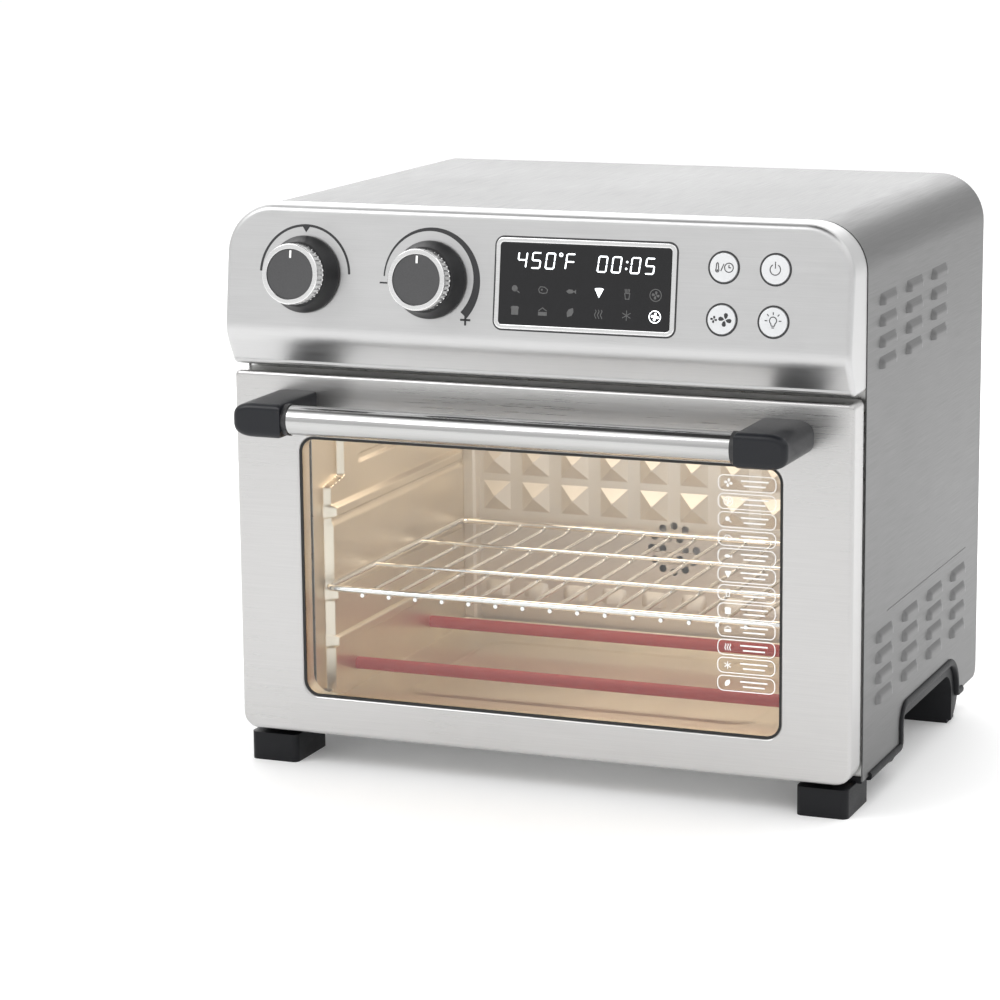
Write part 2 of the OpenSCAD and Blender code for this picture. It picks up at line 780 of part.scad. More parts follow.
// Wire that follows a rounded rectangle, seen from above
module wire_loop(x, y0, y1, z, r, wire_r) {
    for (s = [-1, 1]) {
        rod_y(y0 + r, y1 - r, s * (x - wire_r), z, wire_r);
        translate([s * (x - r), y0 + r, z]) rotate(s > 0 ? 270 : 180)
            rotate_extrude(angle = 90) translate([r - wire_r, 0]) circle(wire_r);
        translate([s * (x - r), y1 - r, z]) rotate(s > 0 ? 0 : 90)
            rotate_extrude(angle = 90) translate([r - wire_r, 0]) circle(wire_r);
    }
    for (y = [y0 + wire_r, y1 - wire_r]) {
        rod_x(-x + r, x - r, y, z, wire_r);
    }
}

module wire_rack() color("silver") in_frame() {
    wire_r = rack_wire_d / 2;
    rod_r = rack_rod_d / 2;
    rods = floor((rack_x - 16) / rack_rod_pitch);
    rod_z = rack_z - wire_r - rod_r + weld_sink;
    wire_loop(rack_x, rack_y0, rack_y1, rack_z, rack_corner_r, wire_r);
    for (i = [-rods:rods]) {
        rod_y(rack_y0 + 0.5, rack_y1 - 0.5, i * rack_rod_pitch, rod_z, rod_r);
    }
    for (y = [rack_y0 + (rack_y1 - rack_y0) / 3, rack_y0 + 2 * (rack_y1 - rack_y0) / 3]) {
        rod_x(-rack_x + wire_r, rack_x - wire_r, y, rack_z, rod_r);
    }
}

// ---------- Fan and motor ----------

module fan_housing() color("lightgray") in_frame() difference() {
    along_y(cav_y1 + liner_t, housing_y1)
        rounded_rect([-housing_half_w, housing_z0], [housing_half_w, housing_z1], 14);
    along_y(cav_y1, housing_y1 - liner_t)
        rounded_rect([-housing_half_w + liner_t, housing_z0 + liner_t],
            [housing_half_w - liner_t, housing_z1 - liner_t], 13);
    rod_y(housing_y1 - liner_t - past, housing_y1 + past, 0, fan_z, motor_shaft_d / 2 + 2);
}

// Wheel of flat blades on a hub and a thin disc
module blade_wheel(y, r, blade_w, count, hub_r) {
    disc_t = 1.2;
    blade_t = 1.2;
    bore_r = motor_shaft_d / 2 + run_fit;
    translate([0, 0, fan_z]) {
        along_y(y, y + disc_t) difference() {
            union() {
                circle(r * 0.55);
                for (i = [0:count - 1]) {
                    rotate((i + 0.5) * 360 / count)
                        translate([hub_r, -blade_t / 2]) square([r - hub_r, blade_t]);
                }
            }
            circle(bore_r);
        }
        along_y(y + disc_t, y + blade_w) difference() {
            union() {
                circle(hub_r);
                for (i = [0:count - 1]) {
                    rotate((i + 0.5) * 360 / count) translate([hub_r - 1, -blade_t / 2])
                        square([r - hub_r + 1, blade_t]);
                }
            }
            circle(bore_r);
        }
    }
}

module convection_fan() color("silver") in_frame()
    blade_wheel(fan_y, fan_d / 2, fan_blade_w, fan_blades, 7);

module cooling_fan() color("gray") in_frame()
    blade_wheel(cooler_y, cooler_d / 2, 4, 8, 6);

module motor_shaft() color("gray") in_frame() {
    rod_y(fan_y - 1, motor_y1, 0, fan_z, motor_shaft_d / 2);
    rod_y(stator_y0, stator_y1, 0, fan_z, rotor_r);
}

module motor_stator() color("dimgray") in_frame() difference() {
    union() {
        block([-stator_w / 2, stator_y0, fan_z - stator_h / 2], [stator_w / 2, stator_y1,
            fan_z + stator_h / 2]);
        for (y = [bridge_y0, bridge_y1]) {
            block([-stator_w / 2, y, fan_z - 7], [stator_w / 2, y + bridge_t, fan_z + 7]);
        }
        for (s = [-1, 1]) {
            rod_y(bridge_y0, bridge_y1 + bridge_t, s * (stator_w / 2 - 4), fan_z, 3.5);
            rod_y(housing_y1, bridge_y0 + 0.1, s * (cooler_d / 2 + 6), fan_z, 2);
            block([s > 0 ? stator_w / 2 - 1 : -cooler_d / 2 - 9, bridge_y0, fan_z - 7],
                [s > 0 ? cooler_d / 2 + 9 : -stator_w / 2 + 1, bridge_y0 + bridge_t, fan_z + 7]);
        }
    }
    rod_y(stator_y0 - past, stator_y1 + past, 0, fan_z, rotor_r + rotor_gap);
    rod_y(bridge_y0 - past, bridge_y1 + bridge_t + past, 0, fan_z, motor_shaft_d / 2 + run_fit);
}

module power_board() color("darkgreen") in_frame()
    translate([-cav_x + 40, cav_y0 + 42, cav_z1 + liner_t + power_lift]) {
        cube([power_size[0], power_size[1], board_t]);
        translate([8, 10, board_t - 0.1]) cube(transformer);
        for (i = [0, 1]) {
            translate([transformer[0] + 18 + i * relay_pitch, 12, board_t - 0.1]) cube(relay);
        }
        translate([24, 58, board_t - 0.1]) cylinder(h = 20, r = 8);
        for (x = [5, power_size[0] - 5], y = [5, power_size[1] - 5]) {
            translate([x, y, -power_lift]) cylinder(h = power_lift + 0.1, r = 3);
        }
    }

// ---------- Control panel ----------

module control_panel() color("silver") in_frame() difference() {
    intersection() {
        along_y(-panel_reach - past, panel_back_y)
            shoulder_outline(panel_half_w, panel_z0, body_h, shoulder_r);
        along_x(-half_w, half_w) polygon(panel_profile(0, 0));
    }
    intersection() {
        along_y(-panel_reach - past, past)
            shoulder_outline(panel_half_w - skin_t, panel_z0, body_h - skin_t, shoulder_r - skin_t);
        along_x(-half_w, half_w) polygon(panel_profile(skin_t, 3));
    }
    for (x = knob_x) {
        on_face(x, control_rise) face_rod(-past, skin_t + past, bush_r + seat_fit);
    }
    for (x = [button_x0, button_x1], z = button_z) {
        on_face(x, z) face_rod(-past, skin_t + past, button_d / 2 + slide_fit);
    }
    on_face(display_x, display_z) along_y(-past, skin_t + past) display_outline(seat_fit);
}

module display_outline(grow) {
    rounded_rect([-display_w / 2 - grow, -display_h / 2 - grow],
        [display_w / 2 + grow, display_h / 2 + grow], display_r + grow);
}

module display_bezel() color("gainsboro") in_frame() on_face(display_x, display_z) difference() {
    along_y(-0.9, 0) display_outline(display_trim);
    along_y(-past, past) display_outline(seat_fit);
}

module display_lens() color([0.02, 0.02, 0.02]) in_frame() on_face(display_x, display_z)
    along_y(-0.6, 2) display_outline(0);

module display_module() color([0.1, 0.1, 0.12]) in_frame() on_face(display_x, display_z)
    along_y(2.2, board_y0) square([display_w - 4, display_h - 4], center = true);

module control_board() color("darkgreen") in_frame() on_face(0, 0) {
    block([-half_w + board_margin, board_y0, board_z0], [half_w - board_margin, board_y0 + board_t,
        board_z1]);
    block([-30, board_y0 + board_t, 20], [10, board_y0 + board_t + 2, 48]);
    block([60, board_y0 + board_t, 12], [90, board_y0 + board_t + 5, 18]);
}

module encoders() color("gray") in_frame() {
    for (x = knob_x) {
        on_face(x, control_rise) difference() {
            union() {
                block([-encoder_w / 2, encoder_y0, -encoder_w / 2], [encoder_w / 2, board_y0,
                    encoder_w / 2]);
                face_rod(-bush_out, encoder_y0 + 0.1, bush_r);
            }
            face_rod(-bush_out - past, board_y0 - 1, shaft_d / 2 + run_fit);
        }
    }
}

module knob_shaft(x) on_face(x, control_rise) face_rod(-knob_h + 7, board_y0 - 1.3, shaft_d / 2);

// Knob: a flared skirt with a seat for the bright ring
module knob(x) {
    foot = 0.8;
    ring_z = knob_h * 0.56;
    ring_r = knob_ring_d / 2;
    on_face(x, control_rise) rotate([90, 0, 0]) difference() {
        rotate_extrude() polygon([
            [0, foot], [knob_d / 2, foot], [knob_d / 2, foot + 1.6], [knob_d / 2 - 1.2, foot + 3.4],
            [ring_r + 1, ring_z - 1], [ring_r - 1, ring_z], [ring_r - 1, knob_h - 1.6],
            [ring_r - 3.6, knob_h - 1.6], [ring_r - 3.6, knob_h - 0.8], [0, knob_h - 0.8],
        ]);
        translate([0, 0, -past]) cylinder(h = past + bush_out + 1, r = bush_r + 1);
        translate([0, 0, -past]) cylinder(h = knob_h - 7 + past + 0.3, r = shaft_d / 2 + run_fit);
    }
}

// Bright ring that caps the knob
module knob_ring(x) {
    ring_z = knob_h * 0.56;
    ring_r = knob_ring_d / 2;
    on_face(x, control_rise) rotate([90, 0, 0]) rotate_extrude() polygon([
        [ring_r - 0.95, ring_z + 0.1], [ring_r, ring_z + 0.1], [ring_r, knob_h - 0.8],
        [ring_r - 0.8, knob_h], [ring_r - 3.5, knob_h], [ring_r - 3.5, knob_h - 1.5],
        [ring_r - 0.95, knob_h - 1.5],
    ]);
}

module function_knob() color([0.25, 0.25, 0.26]) in_frame() knob(knob_x[0]);
module function_knob_ring() color("silver") in_frame() knob_ring(knob_x[0]);
module function_knob_shaft() color("silver") in_frame() knob_shaft(knob_x[0]);
module temperature_knob() color([0.25, 0.25, 0.26]) in_frame() knob(knob_x[1]);
module temperature_knob_ring() color("silver") in_frame() knob_ring(knob_x[1]);
module temperature_knob_shaft() color("silver") in_frame() knob_shaft(knob_x[1]);

// Push button: a cap, the rim that keeps it behind the panel, and a stem
module button(x, z) on_face(x, z) {
    face_rod(-button_out, button_rim_y + button_rim, button_d / 2);
    face_rod(button_rim_y, button_rim_y + button_rim, button_d / 2 + slide_fit + 0.7);
    face_rod(button_rim_y + button_rim - 0.1, stem_end, stem_r);
}

module button_switches() color([0.1, 0.1, 0.1]) in_frame() {
    for (x = [button_x0, button_x1], z = button_z) {
        on_face(x, z) block([-switch_w / 2, board_y0 - 3.5, -switch_w / 2], [switch_w / 2, board_y0,
            switch_w / 2]);
    }
}

module time_button() color("white") in_frame() button(button_x0, button_z[1]);
module power_button() color("white") in_frame() button(button_x1, button_z[1]);
module fan_button() color("white") in_frame() button(button_x0, button_z[0]);
module light_button() color("white") in_frame() button(button_x1, button_z[0]);

// ---------- Door ----------

module hinge_notches() {
    for (s = [0, 1]) {
        mirror([s, 0, 0]) block([hinge_x0 - 1.5, door_y0 + skin_t, door_z0 - past],
            [hinge_x1 + 1.5, door_y1 + past, door_z0 + hinge_notch_h]);
    }
}

module door_screw_sites() {
    for (s = [-1, 1], x = door_screw_x) {
        translate([s * x, (door_y0 + door_y1) / 2, door_z0]) children();
    }
}

module door_skin() color("silver") in_frame() difference() {
    along_y(door_y0, door_y1 - liner_t) door_outline(0);
    along_y(door_y0 + skin_t, door_y1 + past) door_outline(skin_t);
    along_y(door_y0 - past, door_y0 + skin_t + past) window_outline(0);
    hinge_notches();
    for (s = [-1, 1]) {
        rod_y(door_y0 - past, door_y0 + skin_t + past, s * handle_screw_x, bar_z, screw_r + run_fit);
    }
    door_screw_sites() translate([0, 0, -past]) cylinder(h = skin_t + 2 * past, r = screw_r + run_fit);
}

// Inner steel frame, with a lower flange that takes the door screws
module door_inner_frame() color("lightgray") in_frame() difference() {
    tab_y = (door_y0 + door_y1) / 2 - 5;
    tab_z = door_z0 + skin_t + seat_fit;
    tab_x = door_screw_x[1] + door_tab_w / 2;
    union() {
        along_y(door_y1 - liner_t, door_y1) door_outline(skin_t + seat_fit);
        block([-tab_x, tab_y, tab_z], [tab_x, door_y1, tab_z + liner_t]);
    }
    along_y(door_y1 - liner_t - past, door_y1 + past) window_outline(3);
    hinge_notches();
    door_screw_sites() cylinder(h = 6, r = screw_r + run_fit);
}

module door_screws() color("silver") in_frame() door_screw_sites() {
    translate([0, 0, -1.4]) cylinder(h = 1.4, r = 1.8 * screw_r);
    cylinder(h = 6, r = screw_r);
}

module door_glass() color("lightblue", 0.3) in_frame()
    along_y(glass_y0, glass_y1)
        rounded_rect([-window_x - glass_lap, window_z0 - glass_lap],
            [window_x + glass_lap, window_z1 + glass_lap], 6);

module door_gasket() color([0.1, 0.1, 0.1]) in_frame() difference() {
    along_y(door_y0 + skin_t, glass_y0)
        rounded_rect([-window_x - glass_lap, window_z0 - glass_lap],
            [window_x + glass_lap, window_z1 + glass_lap], 6);
    along_y(door_y0, glass_y0 + past) window_outline(-gasket_show);
}

module glass_clips() color("gray") in_frame() {
    for (sx = [0, 1], z = [window_z0 + 16, window_z1 - 16]) {
        mirror([sx, 0, 0]) {
            edge = window_x + glass_lap;
            block([edge - 5, glass_y1 + 0.1, z - clip_w / 2], [edge + 7, glass_y1 + 0.1 + clip_t,
                z + clip_w / 2]);
            block([edge + 1, door_y0 + skin_t, z - clip_w / 2], [edge + 7, glass_y1 + 0.2,
                z + clip_w / 2]);
        }
    }
}

module handle_bar() color("silver") in_frame() difference() {
    bar_x = bracket_x0 + socket_depth - 0.5;
    rod_x(-bar_x, bar_x, bar_y, bar_z, bar_d / 2);
    rod_x(-bar_x - past, bar_x + past, bar_y, bar_z, bar_d / 2 - bar_wall);
}

module handle_collars() color([0.1, 0.1, 0.1]) in_frame() {
    for (s = [0, 1]) {
        mirror([s, 0, 0]) difference() {
            rod_x(bracket_x0 - collar_w, bracket_x0, bar_y, bar_z, bar_d / 2 + 0.7);
            rod_x(bracket_x0 - collar_w - past, bracket_x0 + past, bar_y, bar_z, bar_d / 2 + run_fit);
        }
    }
}

// End bracket: an edged block with a round front, a socket for the bar and a screw hole
module handle_bracket() difference() {
    intersection() {
        along_y(bracket_y0, door_y0) polygon([
            [bracket_x0, bar_z - bracket_h / 2], [bracket_x1 - bracket_point, bar_z - bracket_h / 2],
            [bracket_x1, bar_z], [bracket_x1 - bracket_point, bar_z + bracket_h / 2],
            [bracket_x0, bar_z + bracket_h / 2],
        ]);
        along_x(bracket_x0 - past, bracket_x1 + past)
            rounded_rect([bracket_y0, bar_z - bracket_h / 2], [door_y0 + 12, bar_z + bracket_h / 2], 8);
    }
    rod_x(bracket_x0 - past, bracket_x0 + socket_depth, bar_y, bar_z, bar_d / 2 + run_fit);
    rod_y(door_y0 - 22, door_y0 + past, handle_screw_x, bar_z, screw_r + run_fit);
}

module handle_bracket_right() color([0.17, 0.18, 0.22]) in_frame() handle_bracket();
module handle_bracket_left() color([0.17, 0.18, 0.22]) in_frame() mirror([1, 0, 0]) handle_bracket();

module handle_screws() color("gray") in_frame() {
    for (s = [-1, 1]) {
        rod_y(door_y0 + skin_t, door_y0 + skin_t + 2, s * handle_screw_x, bar_z, 2 * screw_r);
        rod_y(door_y0 - 21, door_y0 + skin_t, s * handle_screw_x, bar_z, screw_r);
    }
}

// ---------- Hinges ----------

module hinge_pins() color("silver") in_frame() {
    for (s = [0, 1]) {
        mirror([s, 0, 0]) {
            rod_x(hinge_x0 - 0.5, hinge_x1 + 0.5, hinge_y, hinge_z, hinge_pin_d / 2);
            rod_x(hinge_x1 + 0.2, hinge_x1 + 1.2, hinge_y, hinge_z, hinge_pin_d / 2 + 1);
        }
    }
}

// Plates on the door, one each side of the arm, joined behind the face
module door_hinge_plates() color("gray") in_frame() {
    plate_h = hinge_notch_h + 10;
    for (s = [0, 1]) {
        mirror([s, 0, 0]) difference() {
            union() {
                for (x = [hinge_x0, hinge_x1 - hinge_plate_t]) {
                    block([x, door_y0 + skin_t, door_z0 + 1], [x + hinge_plate_t, door_y1 - liner_t,
                        door_z0 + plate_h]);
                }
                block([hinge_x0, door_y1 - liner_t - 1.5, door_z0 + hinge_notch_h],
                    [hinge_x1, door_y1 - liner_t, door_z0 + plate_h]);
            }
            rod_x(hinge_x0 - past, hinge_x1 + past, hinge_y, hinge_z, hinge_pin_d / 2 + run_fit);
        }
    }
}

// Arms on the body that hold the hinge pins
module hinge_arms() color("gray") in_frame() {
    for (s = [0, 1]) {
        mirror([s, 0, 0]) difference() {
            union() {
                rod_x(hinge_arm_x0, hinge_arm_x1, hinge_y, hinge_z, hinge_arm_h / 2);
                block([hinge_arm_x0, hinge_y, hinge_z - hinge_arm_h / 2], [hinge_arm_x1, frame_y0,
                    hinge_z + hinge_arm_h / 2]);
                block([hinge_arm_x0 - 8, frame_y0 - 1.2, hinge_z - 2.4], [hinge_arm_x1, frame_y0,
                    hinge_z + 10]);
            }
            rod_x(hinge_arm_x0 - past, hinge_arm_x1 + past, hinge_y, hinge_z, hinge_pin_d / 2 + run_fit);
        }
    }
}

// Close-wound torsion springs on the hinge pins
module door_springs() color("dimgray") in_frame() {
    coil_r = hinge_pin_d / 2 + 0.5 + spring_wire_d / 2;
    x0 = hinge_x0 + hinge_plate_t + 1.5;
    for (s = [0, 1]) {
        mirror([s, 0, 0]) translate([x0, hinge_y, hinge_z]) rotate([0, 90, 0]) rotate_extrude() {
            for (i = [0:spring_turns - 1]) {
                translate([coil_r, i * (spring_wire_d - 0.1) + spring_wire_d / 2]) circle(spring_wire_d / 2);
            }
        }
    }
}

// ---------- Output ----------

outer_wrap();
back_panel();
base_plate();
base_runner_left();
base_runner_right();
front_frame();
case_screws();
cord_gland();
control_panel();
display_bezel();
display_lens();
display_module();
control_board();
encoders();
button_switches();
power_board();
cavity_left_wall();
cavity_right_wall();
cavity_top();
cavity_floor();
cavity_back();
lower_heaters();
upper_heaters();
heater_insulators();
lamp_housing();
lamp_bulb();
lamp_lens();
temperature_probe();
crumb_tray();
wire_rack();
fan_housing();
motor_stator();
convection_fan();
cooling_fan();
motor_shaft();
door_skin();
door_inner_frame();
door_glass();
door_gasket();
glass_clips();
door_screws();
handle_bar();
handle_collars();
handle_bracket_left();
handle_bracket_right();
handle_screws();
door_hinge_plates();
hinge_arms();
hinge_pins();
door_springs();
function_knob();
function_knob_ring();
function_knob_shaft();
temperature_knob();
temperature_knob_ring();
temperature_knob_shaft();
time_button();
power_button();
fan_button();
light_button();
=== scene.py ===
import json
import math

import bmesh
import bpy
from mathutils import Matrix, Vector
from mathutils.geometry import tessellate_polygon

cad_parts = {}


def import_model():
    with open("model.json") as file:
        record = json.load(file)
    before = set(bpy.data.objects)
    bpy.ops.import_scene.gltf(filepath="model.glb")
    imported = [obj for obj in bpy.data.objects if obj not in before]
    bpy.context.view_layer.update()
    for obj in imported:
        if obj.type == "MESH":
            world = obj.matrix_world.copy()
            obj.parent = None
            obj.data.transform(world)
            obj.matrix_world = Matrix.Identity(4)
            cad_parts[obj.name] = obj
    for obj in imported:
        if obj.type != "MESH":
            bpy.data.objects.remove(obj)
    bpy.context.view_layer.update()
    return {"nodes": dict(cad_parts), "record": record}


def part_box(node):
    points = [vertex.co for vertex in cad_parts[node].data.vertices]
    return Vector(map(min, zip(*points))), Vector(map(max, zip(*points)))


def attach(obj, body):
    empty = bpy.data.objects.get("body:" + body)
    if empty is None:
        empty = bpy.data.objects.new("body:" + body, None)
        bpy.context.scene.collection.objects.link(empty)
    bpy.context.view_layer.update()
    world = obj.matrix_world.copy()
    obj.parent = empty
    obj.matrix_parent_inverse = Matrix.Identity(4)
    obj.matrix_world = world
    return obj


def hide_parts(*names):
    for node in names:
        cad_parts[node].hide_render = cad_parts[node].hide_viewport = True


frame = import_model()

# ---------- Where things are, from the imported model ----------
# Everything below is in millimetres, with y = 0 at the front edge of the body, until at() is called.

Y_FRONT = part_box("outer_wrap")[0].y
MM = 0.001


def at(x, y, z):
    return Vector((x * MM, y * MM + Y_FRONT, z * MM))


def mm_box(node):
    lo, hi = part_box(node)
    return (Vector((lo.x, lo.y - Y_FRONT, lo.z)) / MM, Vector((hi.x, hi.y - Y_FRONT, hi.z)) / MM)


BODY_LO, BODY_HI = mm_box("outer_wrap")
HALF_W = BODY_HI.x
BODY_D = BODY_HI.y
PANEL_LO, PANEL_HI = mm_box("control_panel")
DOOR_LO, DOOR_HI = mm_box("door_skin")
BACK_HI = mm_box("cavity_back")[1]
BRK_LO, BRK_HI = mm_box("handle_bracket_right")
LENS_LO, LENS_HI = mm_box("display_lens")
GLASS_LO, GLASS_HI = mm_box("door_glass")

LEAN = math.radians(7.4)          # the panel's face leans back by this angle
FOLD_UP = 21.5                    # height of the fold above the panel's lower edge
FOLD = Vector((0, PANEL_LO.y, PANEL_LO.z + FOLD_UP))
FACE_UP = Vector((0, math.sin(LEAN), math.cos(LEAN)))
FACE_OUT = Vector((0, -math.cos(LEAN), math.sin(LEAN)))


def face(x, up, out=0.0):
    """A point on the control panel's face, up from the fold and out from the steel."""
    p = FOLD + FACE_UP * up + FACE_OUT * out
    return at(x, p.y, p.z)


def face_of(node):
    """Middle of a control on the panel's face, as (across, up the face)."""
    lo, hi = mm_box(node)
    mid = (lo + hi) / 2 - FOLD
    return mid.x, mid.dot(FACE_UP)


# ---------- Materials ----------

def node_of(nt, kind, **inputs):
    n = nt.nodes.new(kind)
    for key, value in inputs.items():
        n.inputs[key.replace("_", " ")].default_value = value
    return n


def material(name, color, metallic, rough, grain=(300, 300, 300), grain_rough=0.08, grain_tint=0.06,
             bump=0.02, bump_size=0.0002, blotch=6.0, blotch_rough=0.05, blotch_tint=0.04, **sockets):
    """Principled material with a fine directional grain and larger, softer handling marks."""
    m = bpy.data.materials.new(name)
    m.use_nodes = True
    nt = m.node_tree
    shader = nt.nodes["Principled BSDF"]
    shader.inputs["Metallic"].default_value = metallic
    for key, value in sockets.items():
        shader.inputs[key.replace("_", " ")].default_value = value
    where = nt.nodes.new("ShaderNodeTexCoord")
    stretch = nt.nodes.new("ShaderNodeMapping")
    stretch.inputs["Scale"].default_value = grain
    fine = node_of(nt, "ShaderNodeTexNoise", Scale=1.0, Detail=3.0, Roughness=0.6)
    large = node_of(nt, "ShaderNodeTexNoise", Scale=blotch, Detail=4.0, Roughness=0.55)
    nt.links.new(where.outputs["Object"], stretch.inputs["Vector"])
    nt.links.new(stretch.outputs["Vector"], fine.inputs["Vector"])
    nt.links.new(where.outputs["Object"], large.inputs["Vector"])

    def spread(source, low, high):
        n = nt.nodes.new("ShaderNodeMapRange")
        n.inputs["From Min"].default_value = 0.3
        n.inputs["From Max"].default_value = 0.7
        n.inputs["To Min"].default_value = low
        n.inputs["To Max"].default_value = high
        nt.links.new(source.outputs["Fac"], n.inputs["Value"])
        return n

    def maths(op, a, b):
        n = nt.nodes.new("ShaderNodeMath")
        n.operation = op
        nt.links.new(a.outputs[0], n.inputs[0])
        nt.links.new(b.outputs[0], n.inputs[1])
        return n

    rough_sum = maths("ADD", spread(fine, rough - grain_rough, rough + grain_rough),
                      spread(large, -blotch_rough, blotch_rough))
    nt.links.new(rough_sum.outputs[0], shader.inputs["Roughness"])
    tint = maths("MULTIPLY", spread(fine, 1 - grain_tint, 1 + grain_tint),
                 spread(large, 1 - blotch_tint, 1 + blotch_tint))
    shade = nt.nodes.new("ShaderNodeVectorMath")
    shade.operation = "SCALE"
    shade.inputs[0].default_value = color[:3]
    nt.links.new(tint.outputs[0], shade.inputs["Scale"])
    nt.links.new(shade.outputs["Vector"], shader.inputs["Base Color"])
    relief = nt.nodes.new("ShaderNodeBump")
    relief.inputs["Strength"].default_value = bump
    relief.inputs["Distance"].default_value = bump_size
    nt.links.new(fine.outputs["Fac"], relief.inputs["Height"])
    nt.links.new(relief.outputs["Normal"], shader.inputs["Normal"])
    return m


def glow(m, color, strength):
    shader = m.node_tree.nodes["Principled BSDF"]
    shader.inputs["Emission Color"].default_value = (*color, 1)
    shader.inputs["Emission Strength"].default_value = strength
    return m


def even(n):
    """Grain of the same size in every direction."""
    return (n, n, n)


GRAIN_X = (25, 1500, 1500)
GRAIN_Y = (1500, 25, 1500)
GRAIN_BAR = (30, 2500, 2500)
GRAIN_STACK = (100, 2500, 100)
LINER_FINISH = (even(700), 0.03, 0.015, 0.005, 0.0002, 9, 0.05, 0.06)
MAT = {
    "brushed_steel": material("brushed_steel", (0.52, 0.515, 0.51), 1, 0.32, GRAIN_X, 0.04, 0.035, 0.05),
    "panel_steel": material("panel_steel", (0.57, 0.57, 0.57), 1, 0.36, GRAIN_X, 0.04, 0.03, 0.04,
                            blotch_rough=0.02),
    # Darker copy of the brushed steel for the wrap: painted shade that makes the sides read darker than the
    # front
    "side_steel": material("side_steel", (0.158, 0.158, 0.158), 1, 0.38, GRAIN_Y, 0.04, 0.03, 0.05,
                           blotch_rough=0.02),
    "polished_steel": material("polished_steel", (0.80, 0.80, 0.80), 1, 0.12, GRAIN_BAR, 0.02, 0.04, 0.02),
    "bar_steel": material("bar_steel", (0.50, 0.50, 0.495), 1, 0.13, GRAIN_BAR, 0.02, 0.04, 0.02),
    "liner_steel": material("liner_steel", (0.82, 0.745, 0.63), 1, 0.38, *LINER_FINISH),
    "plated_steel": material("plated_steel", (0.62, 0.62, 0.61), 1, 0.36, even(220), 0.10, 0.10, 0.08),
    "wire_steel": material("wire_steel", (0.82, 0.82, 0.82), 1, 0.16, even(400), 0.05, 0.05, 0.02),
    "black_moulding": material("black_moulding", (0.008, 0.0085, 0.010), 0, 0.46, even(1400), 0.06, 0.15,
                               0.25, Specular_IOR_Level=0.2),
    "handle_black": material("handle_black", (0.008, 0.009, 0.012), 0, 0.34, even(1800), 0.05, 0.12, 0.10,
                             Specular_IOR_Level=0.32),
    "knob_grey": material("knob_grey", (0.016, 0.016, 0.017), 0, 0.36, even(1500), 0.05, 0.10, 0.08,
                          Specular_IOR_Level=0.35),
    "knob_face": material("knob_face", (0.058, 0.058, 0.06), 0, 0.45, even(1500), 0.05, 0.12, 0.08),
    "button_white": material("button_white", (0.70, 0.71, 0.72), 0.15, 0.34, even(900), 0.03, 0.012, 0.004),
    "display_glass": material("display_glass", (0.004, 0.004, 0.005), 0, 0.09, even(200), 0.02, 0.2, 0.0),
    "board_green": material("board_green", (0.02, 0.13, 0.06), 0, 0.35, even(500), 0.08, 0.3, 0.15),
    "part_black": material("part_black", (0.02, 0.02, 0.021), 0, 0.45, even(900), 0.06, 0.2, 0.12),
    "heater_steel": glow(material("heater_steel", (0.20, 0.030, 0.028), 0.1, 0.6, even(700), 0.10, 0.25,
                                  0.25), (0.45, 0.025, 0.025), 0.30),
    "ceramic": material("ceramic", (0.80, 0.77, 0.70), 0, 0.55, even(700), 0.08, 0.06, 0.15),
    "clear_glass": material("clear_glass", (0.97, 0.985, 0.98), 0, 0.0, even(40), 0.004, 0.01, 0.0,
                            blotch_rough=0.004, Transmission_Weight=1.0, IOR=1.45),
    "lamp_glass": glow(material("lamp_glass", (1.0, 0.93, 0.8), 0, 0.25, even(300), 0.08, 0.04, 0.05),
                       (1.0, 0.72, 0.42), 4.0),
    "gasket_rubber": material("gasket_rubber", (0.012, 0.012, 0.012), 0, 0.6, even(900), 0.08, 0.2, 0.2),
    "laminated_iron": material("laminated_iron", (0.20, 0.20, 0.21), 0.8, 0.45, GRAIN_STACK, 0.1, 0.25, 0.2),
    "spring_steel": material("spring_steel", (0.40, 0.40, 0.41), 1, 0.32, even(600), 0.08, 0.1, 0.05),
    "ink_dark": material("ink_dark", (0.028, 0.028, 0.03), 0, 0.5, even(900), 0.05, 0.15, 0.05),
    "ink_white": material("ink_white", (0.95, 0.95, 0.94), 0, 0.45, even(900), 0.05, 0.03, 0.03),
    "lit": glow(material("lit", (0.9, 0.95, 1.0), 0, 0.4, even(900), 0.02, 0.02, 0.0),
                (0.92, 0.96, 1.0), 2.2),
    "unlit": material("unlit", (0.10, 0.10, 0.10), 0, 0.5, even(900), 0.05, 0.1, 0.0),
    "back_steel": material("back_steel", (0.76, 0.73, 0.69), 1, 0.56, *LINER_FINISH),
}

# CAD pieces whose finish differs a little from their slot's usual one
FINER = {"handle_bar": "bar_steel"}
for part in frame["record"]["subparts"]:
    obj = frame["nodes"][part["node"]]
    obj.data.materials.clear()
    obj.data.materials.append(MAT[FINER.get(part["node"], part["material_slot"])])

# ---------- Mesh helpers ----------

